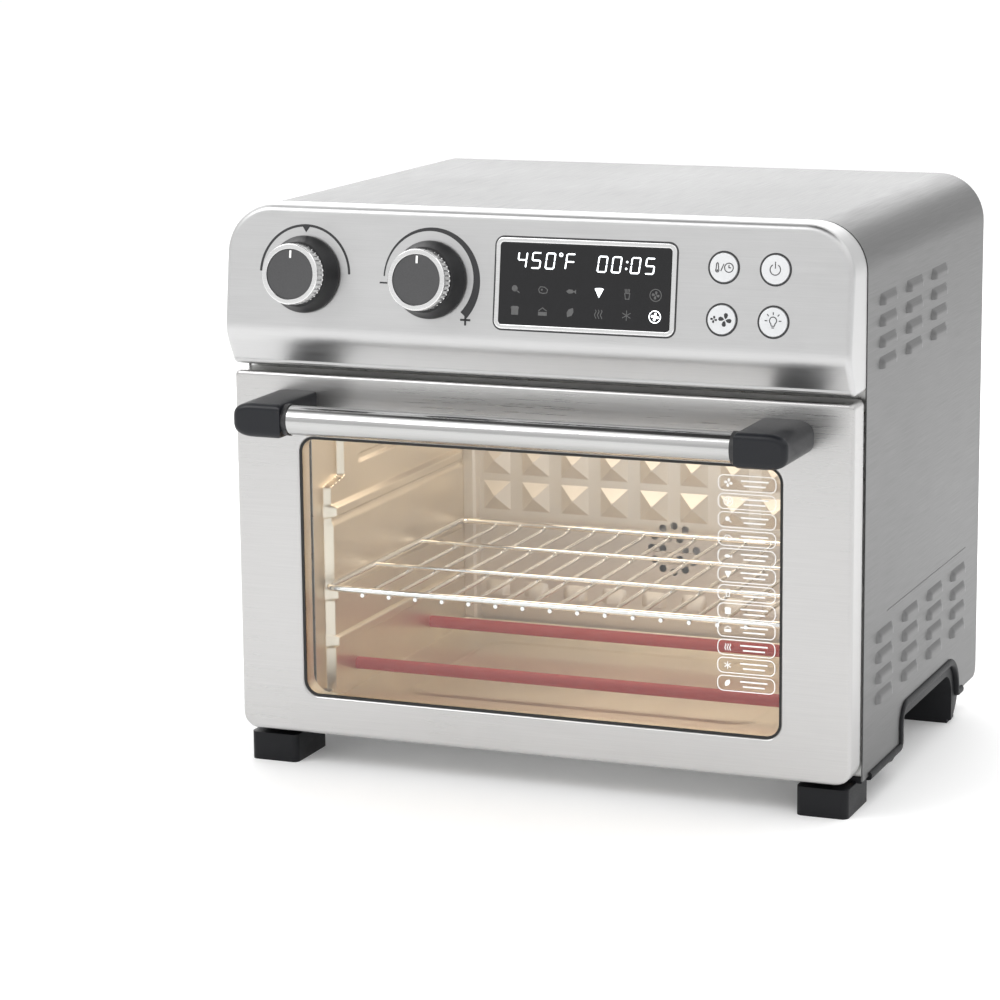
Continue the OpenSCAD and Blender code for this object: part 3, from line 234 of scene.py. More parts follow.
def put(name, verts, faces, mat, body, slot, nodes=(), sharp=32, sheet=0.0, weighted=True, merge=True):
    """Makes a piece from points in metres, rides it on a body and hides the CAD nodes it stands for."""
    me = bpy.data.meshes.new(name)
    me.from_pydata([tuple(v) for v in verts], [], [tuple(f) for f in faces])
    bm = bmesh.new()
    bm.from_mesh(me)
    if merge:
        bmesh.ops.remove_doubles(bm, verts=bm.verts, dist=2e-6)
    bmesh.ops.recalc_face_normals(bm, faces=bm.faces)
    bm.to_mesh(me)
    bm.free()
    me.shade_smooth()
    me.set_sharp_from_angle(angle=math.radians(sharp))
    me.materials.append(MAT[mat])
    obj = bpy.data.objects.new(name, me)
    bpy.context.scene.collection.objects.link(obj)
    if sheet:
        mod = obj.modifiers.new("sheet", "SOLIDIFY")
        mod.thickness = sheet * MM
        mod.offset = -1
        mod = obj.modifiers.new("split", "EDGE_SPLIT")
        mod.split_angle = math.radians(sharp)
    if weighted:
        mod = obj.modifiers.new("normals", "WEIGHTED_NORMAL")
        mod.keep_sharp = True
    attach(obj, body)
    if nodes:
        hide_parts(*nodes)
    return obj


class Shape:
    """Points and faces gathered for one piece."""

    def __init__(self):
        self.verts = []
        self.faces = []

    def add(self, verts, faces):
        base = len(self.verts)
        self.verts += list(verts)
        self.faces += [tuple(i + base for i in f) for f in faces]

    def loft(self, rings, closed=True, cap=False, cap_start=False, skip=()):
        n = len(rings[0])
        verts = [p for ring in rings for p in ring]
        faces = []
        for r in range(len(rings) - 1):
            for i in range(n if closed else n - 1):
                if i in skip:
                    continue
                j = (i + 1) % n
                faces.append((r * n + i, r * n + j, (r + 1) * n + j, (r + 1) * n + i))
        if cap:
            faces.append(tuple(range((len(rings) - 1) * n, len(rings) * n)))
        if cap_start:
            faces.append(tuple(range(n)))
        self.add(verts, faces)

    def fill(self, loops):
        """Flat area between an outline and its holes."""
        verts = [p for loop in loops for p in loop]
        tris = tessellate_polygon([[Vector(p) for p in loop] for loop in loops])
        self.add(verts, tris)

    def plate(self, outline, holes, place, border=0.8):
        """Flat area with holes; a narrow border along each edge lets the middle shade flat."""
        loops = []
        for loop, step in [(outline, -border)] + [(hole, border) for hole in holes]:
            edge = with_normals(loop)
            self.loft([[place(*q) for q, n in edge], [place(*(q + n * step)) for q, n in edge]])
            loops.append([place(*(q + n * step)) for q, n in edge])
        self.fill(loops)

    def put(self, *args, **kw):
        return put(args[0], self.verts, self.faces, *args[1:], **kw)


def arc(cx, cy, r, a0, a1, n):
    """Points of an arc, angles in degrees."""
    return [(cx + r * math.cos(math.radians(a0 + (a1 - a0) * i / n)),
             cy + r * math.sin(math.radians(a0 + (a1 - a0) * i / n))) for i in range(n + 1)]


def circle(cx, cy, r, n=48):
    return arc(cx, cy, r, 0, 360 - 360 / n, n - 1)


def rounded(x0, y0, x1, y1, r, n=8):
    """Rounded rectangle, counter-clockwise."""
    return (arc(x1 - r, y0 + r, r, -90, 0, n) + arc(x1 - r, y1 - r, r, 0, 90, n)
            + arc(x0 + r, y1 - r, r, 90, 180, n) + arc(x0 + r, y0 + r, r, 180, 270, n))


def with_normals(points):
    """Each point of a closed counter-clockwise outline with its outward direction."""
    out = []
    n = len(points)
    for i, p in enumerate(points):
        a, b = Vector(points[i - 1]), Vector(points[(i + 1) % n])
        q = Vector(p)
        d = Vector((0.0, 0.0))
        for e in (q - a, b - q):
            if e.length > 1e-6:
                d += Vector((e.y, -e.x)) / e.length
        out.append((q, d.normalized()))
    return out


def fillet(r, steps=6):
    """(inset, depth below the face) from the side of a plate to its face."""
    return [(r * (1 - math.cos(math.pi / 2 * i / steps)), r * (1 - math.sin(math.pi / 2 * i / steps)))
            for i in range(steps + 1)]


def ease(t):
    t = max(0.0, min(1.0, t))
    return t * t * (3 - 2 * t)


def band(v, lo, hi, soft):
    """1 between lo and hi, falling softly to 0 outside."""
    return ease((v - lo) / soft + 1) * ease((hi - v) / soft + 1)


# ---------- Outer wrap with pressed louvres and hand holes ----------

SHOULDER_R = 30
PLAIN_Z = 52.0                    # below this the side is one flat face down to the hand hole
LOUVRE_W, LOUVRE_TALL, LOUVRE_RISE = 35.0, 7.0, 2.2
HIGH_Y, HIGH_Z = (44, 102.5, 161), (305, 292.4, 279.8, 267.2)
LOW_Y, LOW_Z = (44, 102.5, 161, 219.5), (101, 88.4, 75.8, 63.2)
BEAD_Z, BEAD_Y0, BEAD_Y1 = 112.5, 49, 240
BEAD = ((-0.8, 0.0), (-0.4, 0.3), (0.0, 0.4), (0.4, 0.3), (0.8, 0.0))
BAND_W = 5.6                      # how far the black lip's band reaches down the hand hole
GRIP_Y0, GRIP_Y1, GRIP_TOP = 84, BODY_D - 50, BODY_LO.z + 25


def grip_edge():
    """Lower edge of the side, from front to back, over the hand hole."""
    z0 = BODY_LO.z
    pts = [(0.0, z0)]
    pts += arc(GRIP_Y0 - 3, z0 + 3, 3, -90, 0, 4)
    pts += arc(GRIP_Y0 + 12, GRIP_TOP - 12, 12, 180, 90, 8)
    pts += arc(GRIP_Y1 - 22, GRIP_TOP - 22, 22, 90, 0, 10)
    pts += arc(GRIP_Y1 + 3, z0 + 3, 3, 180, 270, 4)
    pts += arc(BODY_D - 7, z0 + 7, 7, -90, 0, 6)
    return pts


def outer_wrap():
    s = Shape()
    top = BODY_HI.z - SHOULDER_R
    holes = [(y, z) for y in HIGH_Y for z in HIGH_Z] + [(y, z) for y in LOW_Y for z in LOW_Z]
    ys = sorted({0.0, BODY_D} | {y + d for y, z in holes for d in (-LOUVRE_W / 2, LOUVRE_W / 2)})
    zs = sorted({PLAIN_Z, top} | {z + d for y, z in holes for d in (-LOUVRE_TALL / 2, LOUVRE_TALL / 2)})
    for side in (-1, 1):
        x = side * HALF_W
        low = grip_edge() + [(y, PLAIN_Z) for y in reversed(ys)]
        s.fill([[at(x, y, z) for y, z in low]])
        for i in range(len(ys) - 1):
            for j in range(len(zs) - 1):
                my, mz = (ys[i] + ys[i + 1]) / 2, (zs[j] + zs[j + 1]) / 2
                if any(abs(my - y) < LOUVRE_W / 2 and abs(mz - z) < LOUVRE_TALL / 2 for y, z in holes):
                    continue
                s.add([at(x, ys[i], zs[j]), at(x, ys[i + 1], zs[j]), at(x, ys[i + 1], zs[j + 1]),
                       at(x, ys[i], zs[j + 1])], [(0, 1, 2, 3)])
        nu, nv = 20, 8
        for y, z in holes:
            rows = []
            for v in range(nv + 1):
                row = []
                for u in range(nu + 1):
                    fu, fv = u / nu, v / nv
                    end = min(1.0, min(fu, 1 - fu) / 0.16)
                    end = math.sin(end * math.pi / 2) ** 0.8
                    rise = LOUVRE_RISE * end * math.sin(min(1.0, fv * 1.5) * math.pi / 2)
                    row.append(at(x + side * rise, y + (fu - 0.5) * LOUVRE_W, z + (0.5 - fv) * LOUVRE_TALL))
                rows.append(row)
            s.loft(rows, closed=False)
        s.loft([[at(x + side * (out * k - 0.02), y, BEAD_Z + up) for up, out in BEAD]
                for y, k in ((BEAD_Y0, 0.0), (BEAD_Y0 + 2, 1.0), (BEAD_Y1 - 2, 1.0), (BEAD_Y1, 0.0))],
               closed=False)
    outline = [(HALF_W - SHOULDER_R + px, top + pz) for px, pz in arc(0, 0, SHOULDER_R, 0, 90, 16)]
    outline += [(-px, pz) for px, pz in reversed(outline)]
    s.loft([[at(px, y, pz) for px, pz in outline] for y in ys], closed=False)
    # The wrap takes the darker steel copy, painted shade on its sides and top
    s.put("wrap", "side_steel", "oven", "brushed_steel", nodes=("outer_wrap",), sheet=1.0, sharp=14)


# Section of the lip: (down from the steel edge, out from the side, share of the band's width)
LIP = [(-2.2, 0.0, 0), (-2.1, 0.9, 0), (-1.5, 1.5, 0), (0.0, 1.9, 0), (1.6, 1.7, 0), (2.5, 1.0, 0),
       (2.8, -0.5, 0), (3.0, -3.0, 0), (3.2, -3.6, 0.9), (3.6, -4.2, 1), (3.6, -6.2, 1), (2.6, -7.0, 0.6),
       (1.6, -7.0, 0), (1.0, -1.4, 0)]
LIP_AHEAD, LIP_BEHIND = 76, 12    # how far the lip runs on before and behind the hand hole


def grip_lips():
    """Rounded black lip of the base moulding that covers the steel edge around each hand hole."""
    z0 = BODY_LO.z
    edge = [(GRIP_Y0 - LIP_AHEAD + 6 * i, z0) for i in range(13)]
    edge += [(y, z) for y, z in grip_edge()[1:] if y < GRIP_Y1 + LIP_BEHIND]
    edge += [(GRIP_Y1 + LIP_BEHIND, z0), (GRIP_Y1 + LIP_BEHIND + 3, z0)]
    path = with_normals(edge)
    for side, name in ((-1, "left"), (1, "right")):
        s = Shape()
        rings = []
        for q, n in path[1:-1]:
            before = n.y < -0.9 and q.x < GRIP_Y0
            width = BAND_W * ease((q.x - GRIP_Y0 + 34) / 32) if before else BAND_W
            ring = []
            for down, out, share in LIP:
                p = q + n * (down + share * width)
                ring.append(at(side * (HALF_W + out), p.x, p.y))
            rings.append(ring)
        s.loft(rings, cap=True, cap_start=True)
        s.put("grip_lip_" + name, "black_moulding", "oven", "black_moulding", sharp=60)


# ---------- Control panel ----------

PANEL_EDGE_R = 3.5
PANEL_W = PANEL_HI.x
PANEL_LOW_R = 3.0
PANEL_BACK = -0.6                 # rear edge of the panel, just ahead of the wrap
BEND = 6.0                        # the fold is rounded this far up and down
BUTTON_HOLE_R, SHAFT_HOLE_R = 8.75, 4.2
DISPLAY_H = 48.5
CHAMFER_SLOPE = (DOOR_LO.y - PANEL_LO.y) / (FOLD.z - PANEL_LO.z)
FACE_SLOPE = math.tan(LEAN)


def panel_y(z):
    """Front of the panel at a height: a soft fold between the lower strip and the face."""
    u = z - FOLD.z
    if u >= BEND:
        return FOLD.y + u * FACE_SLOPE
    if u <= -BEND:
        return FOLD.y - u * CHAMFER_SLOPE
    both = FACE_SLOPE + CHAMFER_SLOPE
    return FOLD.y + both / (4 * BEND) * u * u + (FACE_SLOPE - CHAMFER_SLOPE) / 2 * u + both * BEND / 4


BUTTONS = ("time_button", "power_button", "fan_button", "light_button")
KNOBS = ("function_knob", "temperature_knob")


def control_panel():
    z0, z1, w, low_r = PANEL_LO.z, PANEL_HI.z, PANEL_W, PANEL_LOW_R
    half = [(0.0, z0)] + arc(w - low_r, z0 + low_r, low_r, -90, 0, 5)
    half += [(w, FOLD.z + u) for u in (-14, -10, -6, -4, -2, 0, 2, 4, 6, 12, 20, 34)]
    half += arc(w - SHOULDER_R, z1 - SHOULDER_R, SHOULDER_R, 0, 90, 18)
    half += [(0.0, z1)]
    loop = half + [(-x, z) for x, z in reversed(half[1:-1])]
    pts = with_normals(loop)
    rings = [[at(q.x - n.x * i, PANEL_BACK, q.y - n.y * i) for q, n in pts] for i in (1, 0)]
    for inset, depth in fillet(PANEL_EDGE_R):
        ring = []
        for q, n in pts:
            p = q - n * inset
            ring.append(at(p.x, min(panel_y(p.y) + depth, PANEL_BACK - 0.2), p.y))
        rings.append(ring)
    s = Shape()
    s.loft(rings)
    inner = rings[-1]
    first = next(i for i, (x, z) in enumerate(half) if z >= FOLD.z + BEND - 0.01 and i > 6)

    def left(i):
        """The point that mirrors point i of the right half."""
        return 0 if i == 0 else len(loop) - i

    for i in range(1, first):
        s.add([inner[left(i)], inner[i], inner[i + 1], inner[left(i + 1)]], [(0, 1, 2, 3)])
    s.add([inner[0], inner[1], inner[left(1)]], [(0, 1, 2)])
    flat = [q - n * PANEL_EDGE_R for q, n in pts[first:len(loop) - first + 1]]
    flat = [(q.x, (q.y - FOLD.z) / math.cos(LEAN)) for q in flat]
    holes = [circle(*face_of(node), BUTTON_HOLE_R, 40) for node in BUTTONS]
    holes += [circle(*face_of(node), SHAFT_HOLE_R, 24) for node in KNOBS]
    cx, cy = face_of("display_lens")
    w2, h2 = (LENS_HI.x - LENS_LO.x) / 2 + 0.2, DISPLAY_H / 2 + 0.2
    holes.append(rounded(cx - w2, cy - h2, cx + w2, cy + h2, 2.2, 5))
    s.plate(flat, holes, face)
    s.put("panel", "panel_steel", "oven", "panel_steel", nodes=("control_panel",), sheet=1.0, sharp=50)


def display():
    cx, cy = face_of("display_lens")
    w2, h2 = (LENS_HI.x - LENS_LO.x) / 2, DISPLAY_H / 2
    s = Shape()
    rings = []
    outer = with_normals(rounded(cx - w2 - 3, cy - h2 - 3, cx + w2 + 3, cy + h2 + 3, 5, 8))
    inner = with_normals(rounded(cx - w2, cy - h2, cx + w2, cy + h2, 2, 8))
    section = [(outer, 0, 0.0), (outer, 0, 0.5), (outer, 0.25, 0.8), (outer, 0.7, 0.95), (inner, -0.7, 0.95),
               (inner, -0.25, 0.8), (inner, -0.1, 0.5), (inner, -0.1, 0.0)]
    for base, inset, out in section:
        rings.append([face(q.x - n.x * inset, q.y - n.y * inset, out) for q, n in base])
    s.loft(rings + [rings[0]])
    s.put("display_trim", "polished_steel", "oven", "polished_steel", nodes=("display_bezel",), sharp=50)
    s = Shape()
    rings = [[face(q.x - n.x * i, q.y - n.y * i, o) for q, n in inner]
             for i, o in ((0, -2.0), (0, 0.3), (0.15, 0.5), (0.4, 0.6))]
    s.loft(rings, cap=True, cap_start=True)
    s.put("display_window", "display_glass", "oven", "display_glass", nodes=("display_lens",), sharp=50)


# ---------- Marks: strokes and small flat shapes ----------

class Marks:
    """Flat marks drawn on a surface; place maps (x, y) in mm to a point in metres."""

    def __init__(self, place):
        self.place = place
        self.shape = Shape()

    def poly(self, pts):
        self.shape.fill([[self.place(x, y) for x, y in pts]])

    def ring(self, outer, inner):
        self.shape.loft([[self.place(*p) for p in outer], [self.place(*p) for p in inner]])

    def stroke(self, pts, width, closed=False):
        n = len(pts)
        left, right = [], []
        for i, p in enumerate(pts):
            a = Vector(pts[(i - 1) % n if closed else max(0, i - 1)])
            b = Vector(pts[(i + 1) % n if closed else min(n - 1, i + 1)])
            q = Vector(p)
            d0 = (q - a).normalized() if (q - a).length > 1e-7 else (b - q).normalized()
            d1 = (b - q).normalized() if (b - q).length > 1e-7 else d0
            d = (d0 + d1).normalized() if (d0 + d1).length > 1e-6 else d0
            nrm = Vector((-d.y, d.x))
            k = 1 / max(0.5, nrm.dot(Vector((-d1.y, d1.x))))
            w = width(i / max(1, n - 1)) if callable(width) else width
            left.append(q + nrm * w / 2 * k)
            right.append(q - nrm * w / 2 * k)
        if closed:
            left.append(left[0])
            right.append(right[0])
        self.shape.loft([[self.place(*p) for p in left], [self.place(*p) for p in right]], closed=False)

    def icon(self, name, cx, cy, size, width=0.5):
        for kind, *a in ICONS[name]:
            if kind == "line":
                self.stroke([(cx + x * size, cy + y * size) for x, y in a[0]], width)
            elif kind == "loop":
                self.stroke([(cx + x * size, cy + y * size) for x, y in a[0]], width, closed=True)
            elif kind == "poly":
                self.poly([(cx + x * size, cy + y * size) for x, y in a[0]])

    def put(self, name, mat, body, slot):
        return self.shape.put(name, mat, body, slot, sheet=0.06, merge=False, weighted=False)


def turned(pts, deg):
    c, s = math.cos(math.radians(deg)), math.sin(math.radians(deg))
    return [(x * c - y * s, x * s + y * c) for x, y in pts]


def moved(pts, dx, dy, k=1.0):
    return [(x * k + dx, y * k + dy) for x, y in pts]


PETAL = [(0.06, 0.10), (0.30, 0.28), (0.42, 0.62), (0.30, 0.86), (0.02, 0.92), (-0.16, 0.74), (-0.12, 0.36)]


def fan_blades(dx=0.0, dy=0.0, k=1.0, count=4):
    return [("poly", moved(turned(PETAL, 360 / count * i), dx, dy, k)) for i in range(count)]


ICONS = {
    "power": [("line", arc(0, 0, 0.58, 120, 420, 24)), ("line", [(0, 0.12), (0, 0.85)])],
    "clock": [("loop", circle(0, 0, 0.8, 24)), ("line", [(0, 0.5), (0, 0), (0.4, 0)])],
    "thermometer": [("line", arc(0, -0.5, 0.3, 140, 400, 12)
                     + [(0.16, 0.6), (0, 0.8), (-0.16, 0.6), (-0.23, -0.3)]),
                    ("poly", circle(0, -0.5, 0.16, 10))],
    "slash": [("line", [(-0.3, -0.7), (0.3, 0.7)])],
    "fan": fan_blades(),
    "fan_ring": fan_blades(0, 0, 0.72) + [("loop", circle(0, 0, 0.95, 28))],
    "bulb": [("line", [(-0.18, -0.42)] + arc(0, 0.12, 0.38, 232, -52, 18) + [(0.18, -0.42)]),
             ("line", [(-0.18, -0.44), (0.18, -0.44)]), ("line", [(-0.14, -0.62), (0.14, -0.62)]),
             ("line", [(0, 0.72), (0, 0.98)]), ("line", [(0.48, 0.58), (0.66, 0.78)]),
             ("line", [(-0.48, 0.58), (-0.66, 0.78)]),
             ("line", [(0.62, 0.1), (0.9, 0.1)]), ("line", [(-0.62, 0.1), (-0.9, 0.1)])],
    "drumstick": [("poly", moved(circle(0, 0, 0.5, 16), -0.15, 0.12)),
                  ("poly", [(0.1, -0.05), (0.75, -0.5), (0.66, -0.66), (0, -0.22)])],
    "steak": [("loop", [(-0.8, 0.1), (-0.5, 0.55), (0.2, 0.5), (0.75, 0.1), (0.6, -0.4), (0, -0.5),
                        (-0.6, -0.4)]),
              ("poly", circle(-0.25, 0.08, 0.16, 10))],
    "fish": [("poly", [(-0.85, 0.0), (-0.4, 0.34), (0.2, 0.3), (0.5, 0.05), (0.85, 0.35), (0.85, -0.35),
                       (0.5, -0.05), (0.2, -0.3), (-0.4, -0.34)])],
    "slice": [("poly", [(-0.75, 0.62), (-0.3, 0.74), (0.3, 0.74), (0.75, 0.62), (0.0, -0.8)])],
    "cup": [("loop", [(-0.42, 0.1), (0.42, 0.1), (0.3, -0.8), (-0.3, -0.8)])]
           + [("line", [(x, 0.15), (x * 1.3, 0.8)]) for x in (-0.3, -0.1, 0.1, 0.3)],
    "toast": [("poly", [(-0.6, -0.7), (0.6, -0.7), (0.6, 0.2), (0.72, 0.45), (0.5, 0.7), (-0.5, 0.7),
                        (-0.72, 0.45), (-0.6, 0.2)])],
    "cake": [("poly", [(-0.75, -0.65), (0.75, -0.65), (0.75, -0.05), (-0.75, -0.05)]),
             ("line", [(-0.7, 0.1), (0.0, 0.6), (0.72, 0.1)])],
    "heat": [("line", [(x + 0.14 * math.sin(t * 1.6), 0.7 - 0.28 * t) for t in range(6)])
             for x in (-0.5, 0.0, 0.5)],
    "snow": [("line", turned([(0, -0.8), (0, 0.8)], a)) for a in (0, 60, 120)],
    "leaf": [("poly", [(-0.5, -0.7), (-0.62, 0.0), (-0.3, 0.55), (0.45, 0.8), (0.55, 0.1), (0.2, -0.45)])],
}

# Strokes of the seven-segment digits that the display shows
SEGMENTS = {"0": "abcdef", "4": "bcfg", "5": "acdfg", "F": "aefg"}


def digit(marks, ch, x, y, w=5.2, h=9.0, t=0.82, slant=0.12):
    lines = {"a": ((0, 1), (1, 1)), "b": ((1, 1), (1, 0.5)), "c": ((1, 0.5), (1, 0)), "d": ((0, 0), (1, 0)),
             "e": ((0, 0.5), (0, 0)), "f": ((0, 1), (0, 0.5)), "g": ((0, 0.5), (1, 0.5))}
    for seg in SEGMENTS[ch]:
        (ax, ay), (bx, by) = lines[seg]
        a, b = Vector((ax * w, ay * h)), Vector((bx * w, by * h))
        d = (b - a).normalized()
        n = Vector((-d.y, d.x))
        a, b = a + d * t * 0.62, b - d * t * 0.62
        hexa = [a - d * t / 2, a - n * t / 2, b - n * t / 2, b + d * t / 2, b + n * t / 2, a + n * t / 2]
        marks.poly([(x + p.x + slant * p.y, y + p.y) for p in hexa])


def display_marks():
    cx, cy = face_of("display_lens")
    lit = Marks(lambda x, y: face(x, y, 0.68))
    dim = Marks(lambda x, y: face(x, y, 0.66))
    x0 = cx - 35.9
    for ch, dx in zip("450", (-7.0, 1.9, 10.8)):
        digit(lit, ch, x0 + dx, cy + 9.6)
    lit.stroke(circle(x0 + 20.6, cy + 18.0, 0.95, 12), 0.55, closed=True)
    digit(lit, "F", x0 + 23.4, cy + 9.6)
    for ch, dx in zip("0005", (43.6, 52.4, 64.2, 73.2)):
        digit(lit, ch, x0 + dx, cy + 9.0)
    for dz in (2.4, 6.4):
        lit.poly(circle(x0 + 61.3 + dz * 0.12, cy + 9.0 + dz, 0.65, 10))
    rows = (("drumstick", "steak", "fish", "slice", "cup", "fan_ring"),
            ("toast", "cake", "leaf", "heat", "snow", "fan_ring"))
    for r, (names, dz) in enumerate(zip(rows, (-3.3, -15.9))):
        for c, name in enumerate(names):
            on = (r, c) in ((0, 3), (1, 5))
            (lit if on else dim).icon(name, x0 - 7.5 + 17.6 * c, cy + dz, 3.7, 0.5)
    lit.put("display_lit", "lit", "oven", "display_glass")
    dim.put("display_unlit", "unlit", "oven", "display_glass")


def panel_marks():
    ink = Marks(lambda x, y: face(x, y, 0.08))
    ax, ay = face_of("function_knob")
    ink.stroke(arc(ax, ay, 29.6, 2, 178, 60), 1.5)
    ink.poly([(ax - 2.8, ay + 29.4), (ax, ay + 25.4), (ax + 2.8, ay + 29.4)])
    bx, by = face_of("temperature_knob")
    ink.stroke(arc(bx, by, 30.2, 178, -42, 90), lambda f: 0.9 + 4.6 * f ** 1.4)
    ink.stroke([(bx - 33, by - 3), (bx - 28, by - 3)], 1.0)
    for pts in ([(bx + 20.4, by - 23), (bx + 27, by - 23)],
                [(bx + 23.7, by - 26.3), (bx + 23.7, by - 19.7)]):
        ink.stroke(pts, 1.3)
    ink.put("panel_print", "ink_dark", "oven", "panel_steel")
    rings = Marks(lambda x, y: face(x, y, 0.10))
    for node in BUTTONS:
        cx, cy = face_of(node)
        rings.ring(circle(cx, cy, 9.7, 48), circle(cx, cy, BUTTON_HOLE_R, 48))
    # Dark band just outside the display trim: a painted shadow gap
    cx, cy = face_of("display_lens")
    w2, h2 = (LENS_HI.x - LENS_LO.x) / 2 + 3, DISPLAY_H / 2 + 3
    rings.ring(rounded(cx - w2 - 0.9, cy - h2 - 0.9, cx + w2 + 0.9, cy + h2 + 0.9, 5.9, 8),
               rounded(cx - w2, cy - h2, cx + w2, cy + h2, 5, 8))
    rings.put("button_rings", "ink_dark", "oven", "panel_steel")


# ---------- Knobs and buttons ----------

def lathe(shape, cx, cy, profile, n=96, ripple=None):
    rings = []
    for r, out in profile:
        ring = []
        for i in range(n):
            a = 2 * math.pi * i / n
            k = ripple(i, r, out) if ripple else 0
            ring.append(face(cx + (r - k) * math.cos(a), cy + (r - k) * math.sin(a), out))
        rings.append(ring)
    shape.loft(rings, cap=True, cap_start=True)


# Profiles of the turned pieces: (radius, height above the panel's face)
SKIRT = [(23.2, 0.8), (23.5, 1.1), (23.5, 2.0), (23.1, 3.0), (22.3, 4.2), (20.8, 7.4), (19.9, 10.6),
         (19.5, 11.4), (18.9, 11.8), (17.6, 11.9), (17.6, 12.6)]
RIM = [(17.5, 12.2), (18.3, 12.3), (18.5, 12.7), (18.5, 13.1), (18.5, 13.4), (18.5, 20.2), (18.5, 20.9),
       (18.4, 21.5), (18.15, 21.85), (17.8, 22.0), (15.55, 22.0), (15.35, 21.85), (15.25, 21.4),
       (15.25, 20.8)]
DISC = [(15.2, 20.6), (15.2, 21.1), (14.9, 21.35), (14.0, 21.35), (10.0, 21.05), (5.0, 20.9), (0.6, 20.85)]
CAP = [(2.0, -4.6), (2.0, -2.3), (9.4, -2.3), (9.4, -1.3), (8.45, -1.3), (8.45, 0.55), (8.3, 0.85),
       (7.9, 1.0), (6.0, 1.03), (1.0, 1.05)]
RIM_STEPS, GROOVE_EVERY, GROOVE_DEEP = 320, 8, 0.45


def groove(i, r, out):
    """Fine grooves around the side of the rim."""
    cut = i % GROOVE_EVERY in (0, 1) and 13.2 < out < 20.4 and r > 18
    return GROOVE_DEEP if cut else 0.0


def knobs():
    for node in KNOBS:
        cx, cy = face_of(node)
        s = Shape()
        lathe(s, cx, cy, SKIRT)
        s.put(node + "_skirt", "knob_grey", node, "knob_grey", nodes=(node,), sharp=28)
        s = Shape()
        lathe(s, cx, cy, RIM, n=RIM_STEPS, ripple=groove)
        s.put(node + "_rim", "polished_steel", node, "polished_steel", nodes=(node + "_ring",), sharp=35)
        s = Shape()
        lathe(s, cx, cy, DISC)
        s.put(node + "_face", "knob_face", node, "knob_grey", sharp=28)
        tick = Marks(lambda x, y: face(x, y, 21.43))
        tick.stroke([(cx, cy + 9.8), (cx, cy + 14.3)], 1.3)
        tick.put(node + "_tick", "ink_white", node, "knob_grey")


def buttons():
    icons = {
        "time_button": [("thermometer", -3.7, 0, 3.4), ("slash", -0.7, 0, 3.0), ("clock", 3.3, 0, 3.3)],
        "power_button": [("power", 0, 0, 5.4)],
        "fan_button": [("fan", -4.6, 0.0, 2.3), ("fan", 2.2, 0.0, 4.4)],
        "light_button": [("bulb", 0, 0.2, 5.6)],
    }
    for node in BUTTONS:
        cx, cy = face_of(node)
        s = Shape()
        lathe(s, cx, cy, CAP, n=64)
        s.put(node + "_cap", "button_white", node, "button_white", nodes=(node,), sharp=35)
        m = Marks(lambda x, y: face(x, y, 1.12))
        for name, dx, dy, size in icons[node]:
            m.icon(name, cx + dx, cy + dy, size, 0.55)
        m.put(node + "_symbol", "ink_dark", node, "button_white")


# ---------- Door ----------

GLASS_LAP = 10                    # the glass goes this far under the door's steel border
WINDOW_X = GLASS_HI.x - GLASS_LAP
WINDOW_Z0, WINDOW_Z1 = GLASS_LO.z + GLASS_LAP, GLASS_HI.z - GLASS_LAP
WINDOW_R = 10
WINDOW_EDGE = ((1.6, 0.0), (1.0, 0.12), (0.45, 0.42), (0.1, 0.9), (0.0, 1.5))
DOOR_R_LOW, DOOR_R_TOP = 10, 3.5
DOOR_EDGE_R = 2.6
HINGE_IN = 32.5                   # inner end of the hinge notch, from the side of the door


def door():
    """Steel door front; its lower side is open at the two hinge notches."""
    w, z0, z1, low, top = DOOR_HI.x, DOOR_LO.z, DOOR_HI.z, DOOR_R_LOW, DOOR_R_TOP
    loop = arc(w - low, z0 + low, low, -90, 0, 10) + arc(w - top, z1 - top, top, 0, 90, 6)
    loop += arc(-w + top, z1 - top, top, 90, 180, 6) + arc(-w + low, z0 + low, low, 180, 270, 10)
    loop += [(-w + HINGE_IN, z0), (w - HINGE_IN, z0)]
    pts = with_normals(loop)
    notches = (len(pts) - 3, len(pts) - 1)
    y_face, y_back = DOOR_LO.y, DOOR_HI.y
    s = Shape()
    rings = [[at(q.x - n.x, y_back, q.y - n.y) for q, n in pts], [at(q.x, y_back, q.y) for q, n in pts]]
    front = [[at(q.x - n.x * i, y_face + d, q.y - n.y * i) for q, n in pts]
             for i, d in fillet(DOOR_EDGE_R, 7)]
    s.loft(rings + front[:1], skip=notches)
    s.loft(front)
    hole = with_normals(rounded(-WINDOW_X, WINDOW_Z0, WINDOW_X, WINDOW_Z1, WINDOW_R, 12))
    s.loft([[at(q.x + n.x * i, y_face + d, q.y + n.y * i) for q, n in hole] for i, d in WINDOW_EDGE])
    s.plate([q - n * DOOR_EDGE_R for q, n in pts], [[q + n * WINDOW_EDGE[0][0] for q, n in hole]],
            lambda x, z: at(x, y_face, z))
    s.put("door_front", "brushed_steel", "door", "brushed_steel", nodes=("door_skin",), sheet=0.95, sharp=50)


def door_return():
    """Folded edge of the inner door frame, from the glass to the back of the door."""
    grow = 2.6
    outline = with_normals(rounded(-WINDOW_X - grow, WINDOW_Z0 - grow, WINDOW_X + grow, WINDOW_Z1 + grow,
                                   WINDOW_R + grow, 12))
    y0, y1 = GLASS_HI.y + 0.1, DOOR_HI.y + 0.2
    s = Shape()
    s.loft([[at(q.x + n.x * out, y, q.y + n.y * out) for q, n in outline]
            for out, y in ((3.0, y0), (0.4, y0), (0.0, y0 + 0.4), (0.0, y1))])
    # The reveal takes the brighter liner steel instead of the frame's plated steel: painted light over the
    # shade in the window opening
    s.put("door_return", "liner_steel", "door", "plated_steel", sheet=-0.8, sharp=40)


PRINT_X0, PRINT_X1 = 116, 151.5
PRINT_Z, PRINT_PITCH, PRINT_HALF = 199.6, 11.05, 4.6
PRINT_ICON_X, PRINT_LINE_X = 122.2, 138.5


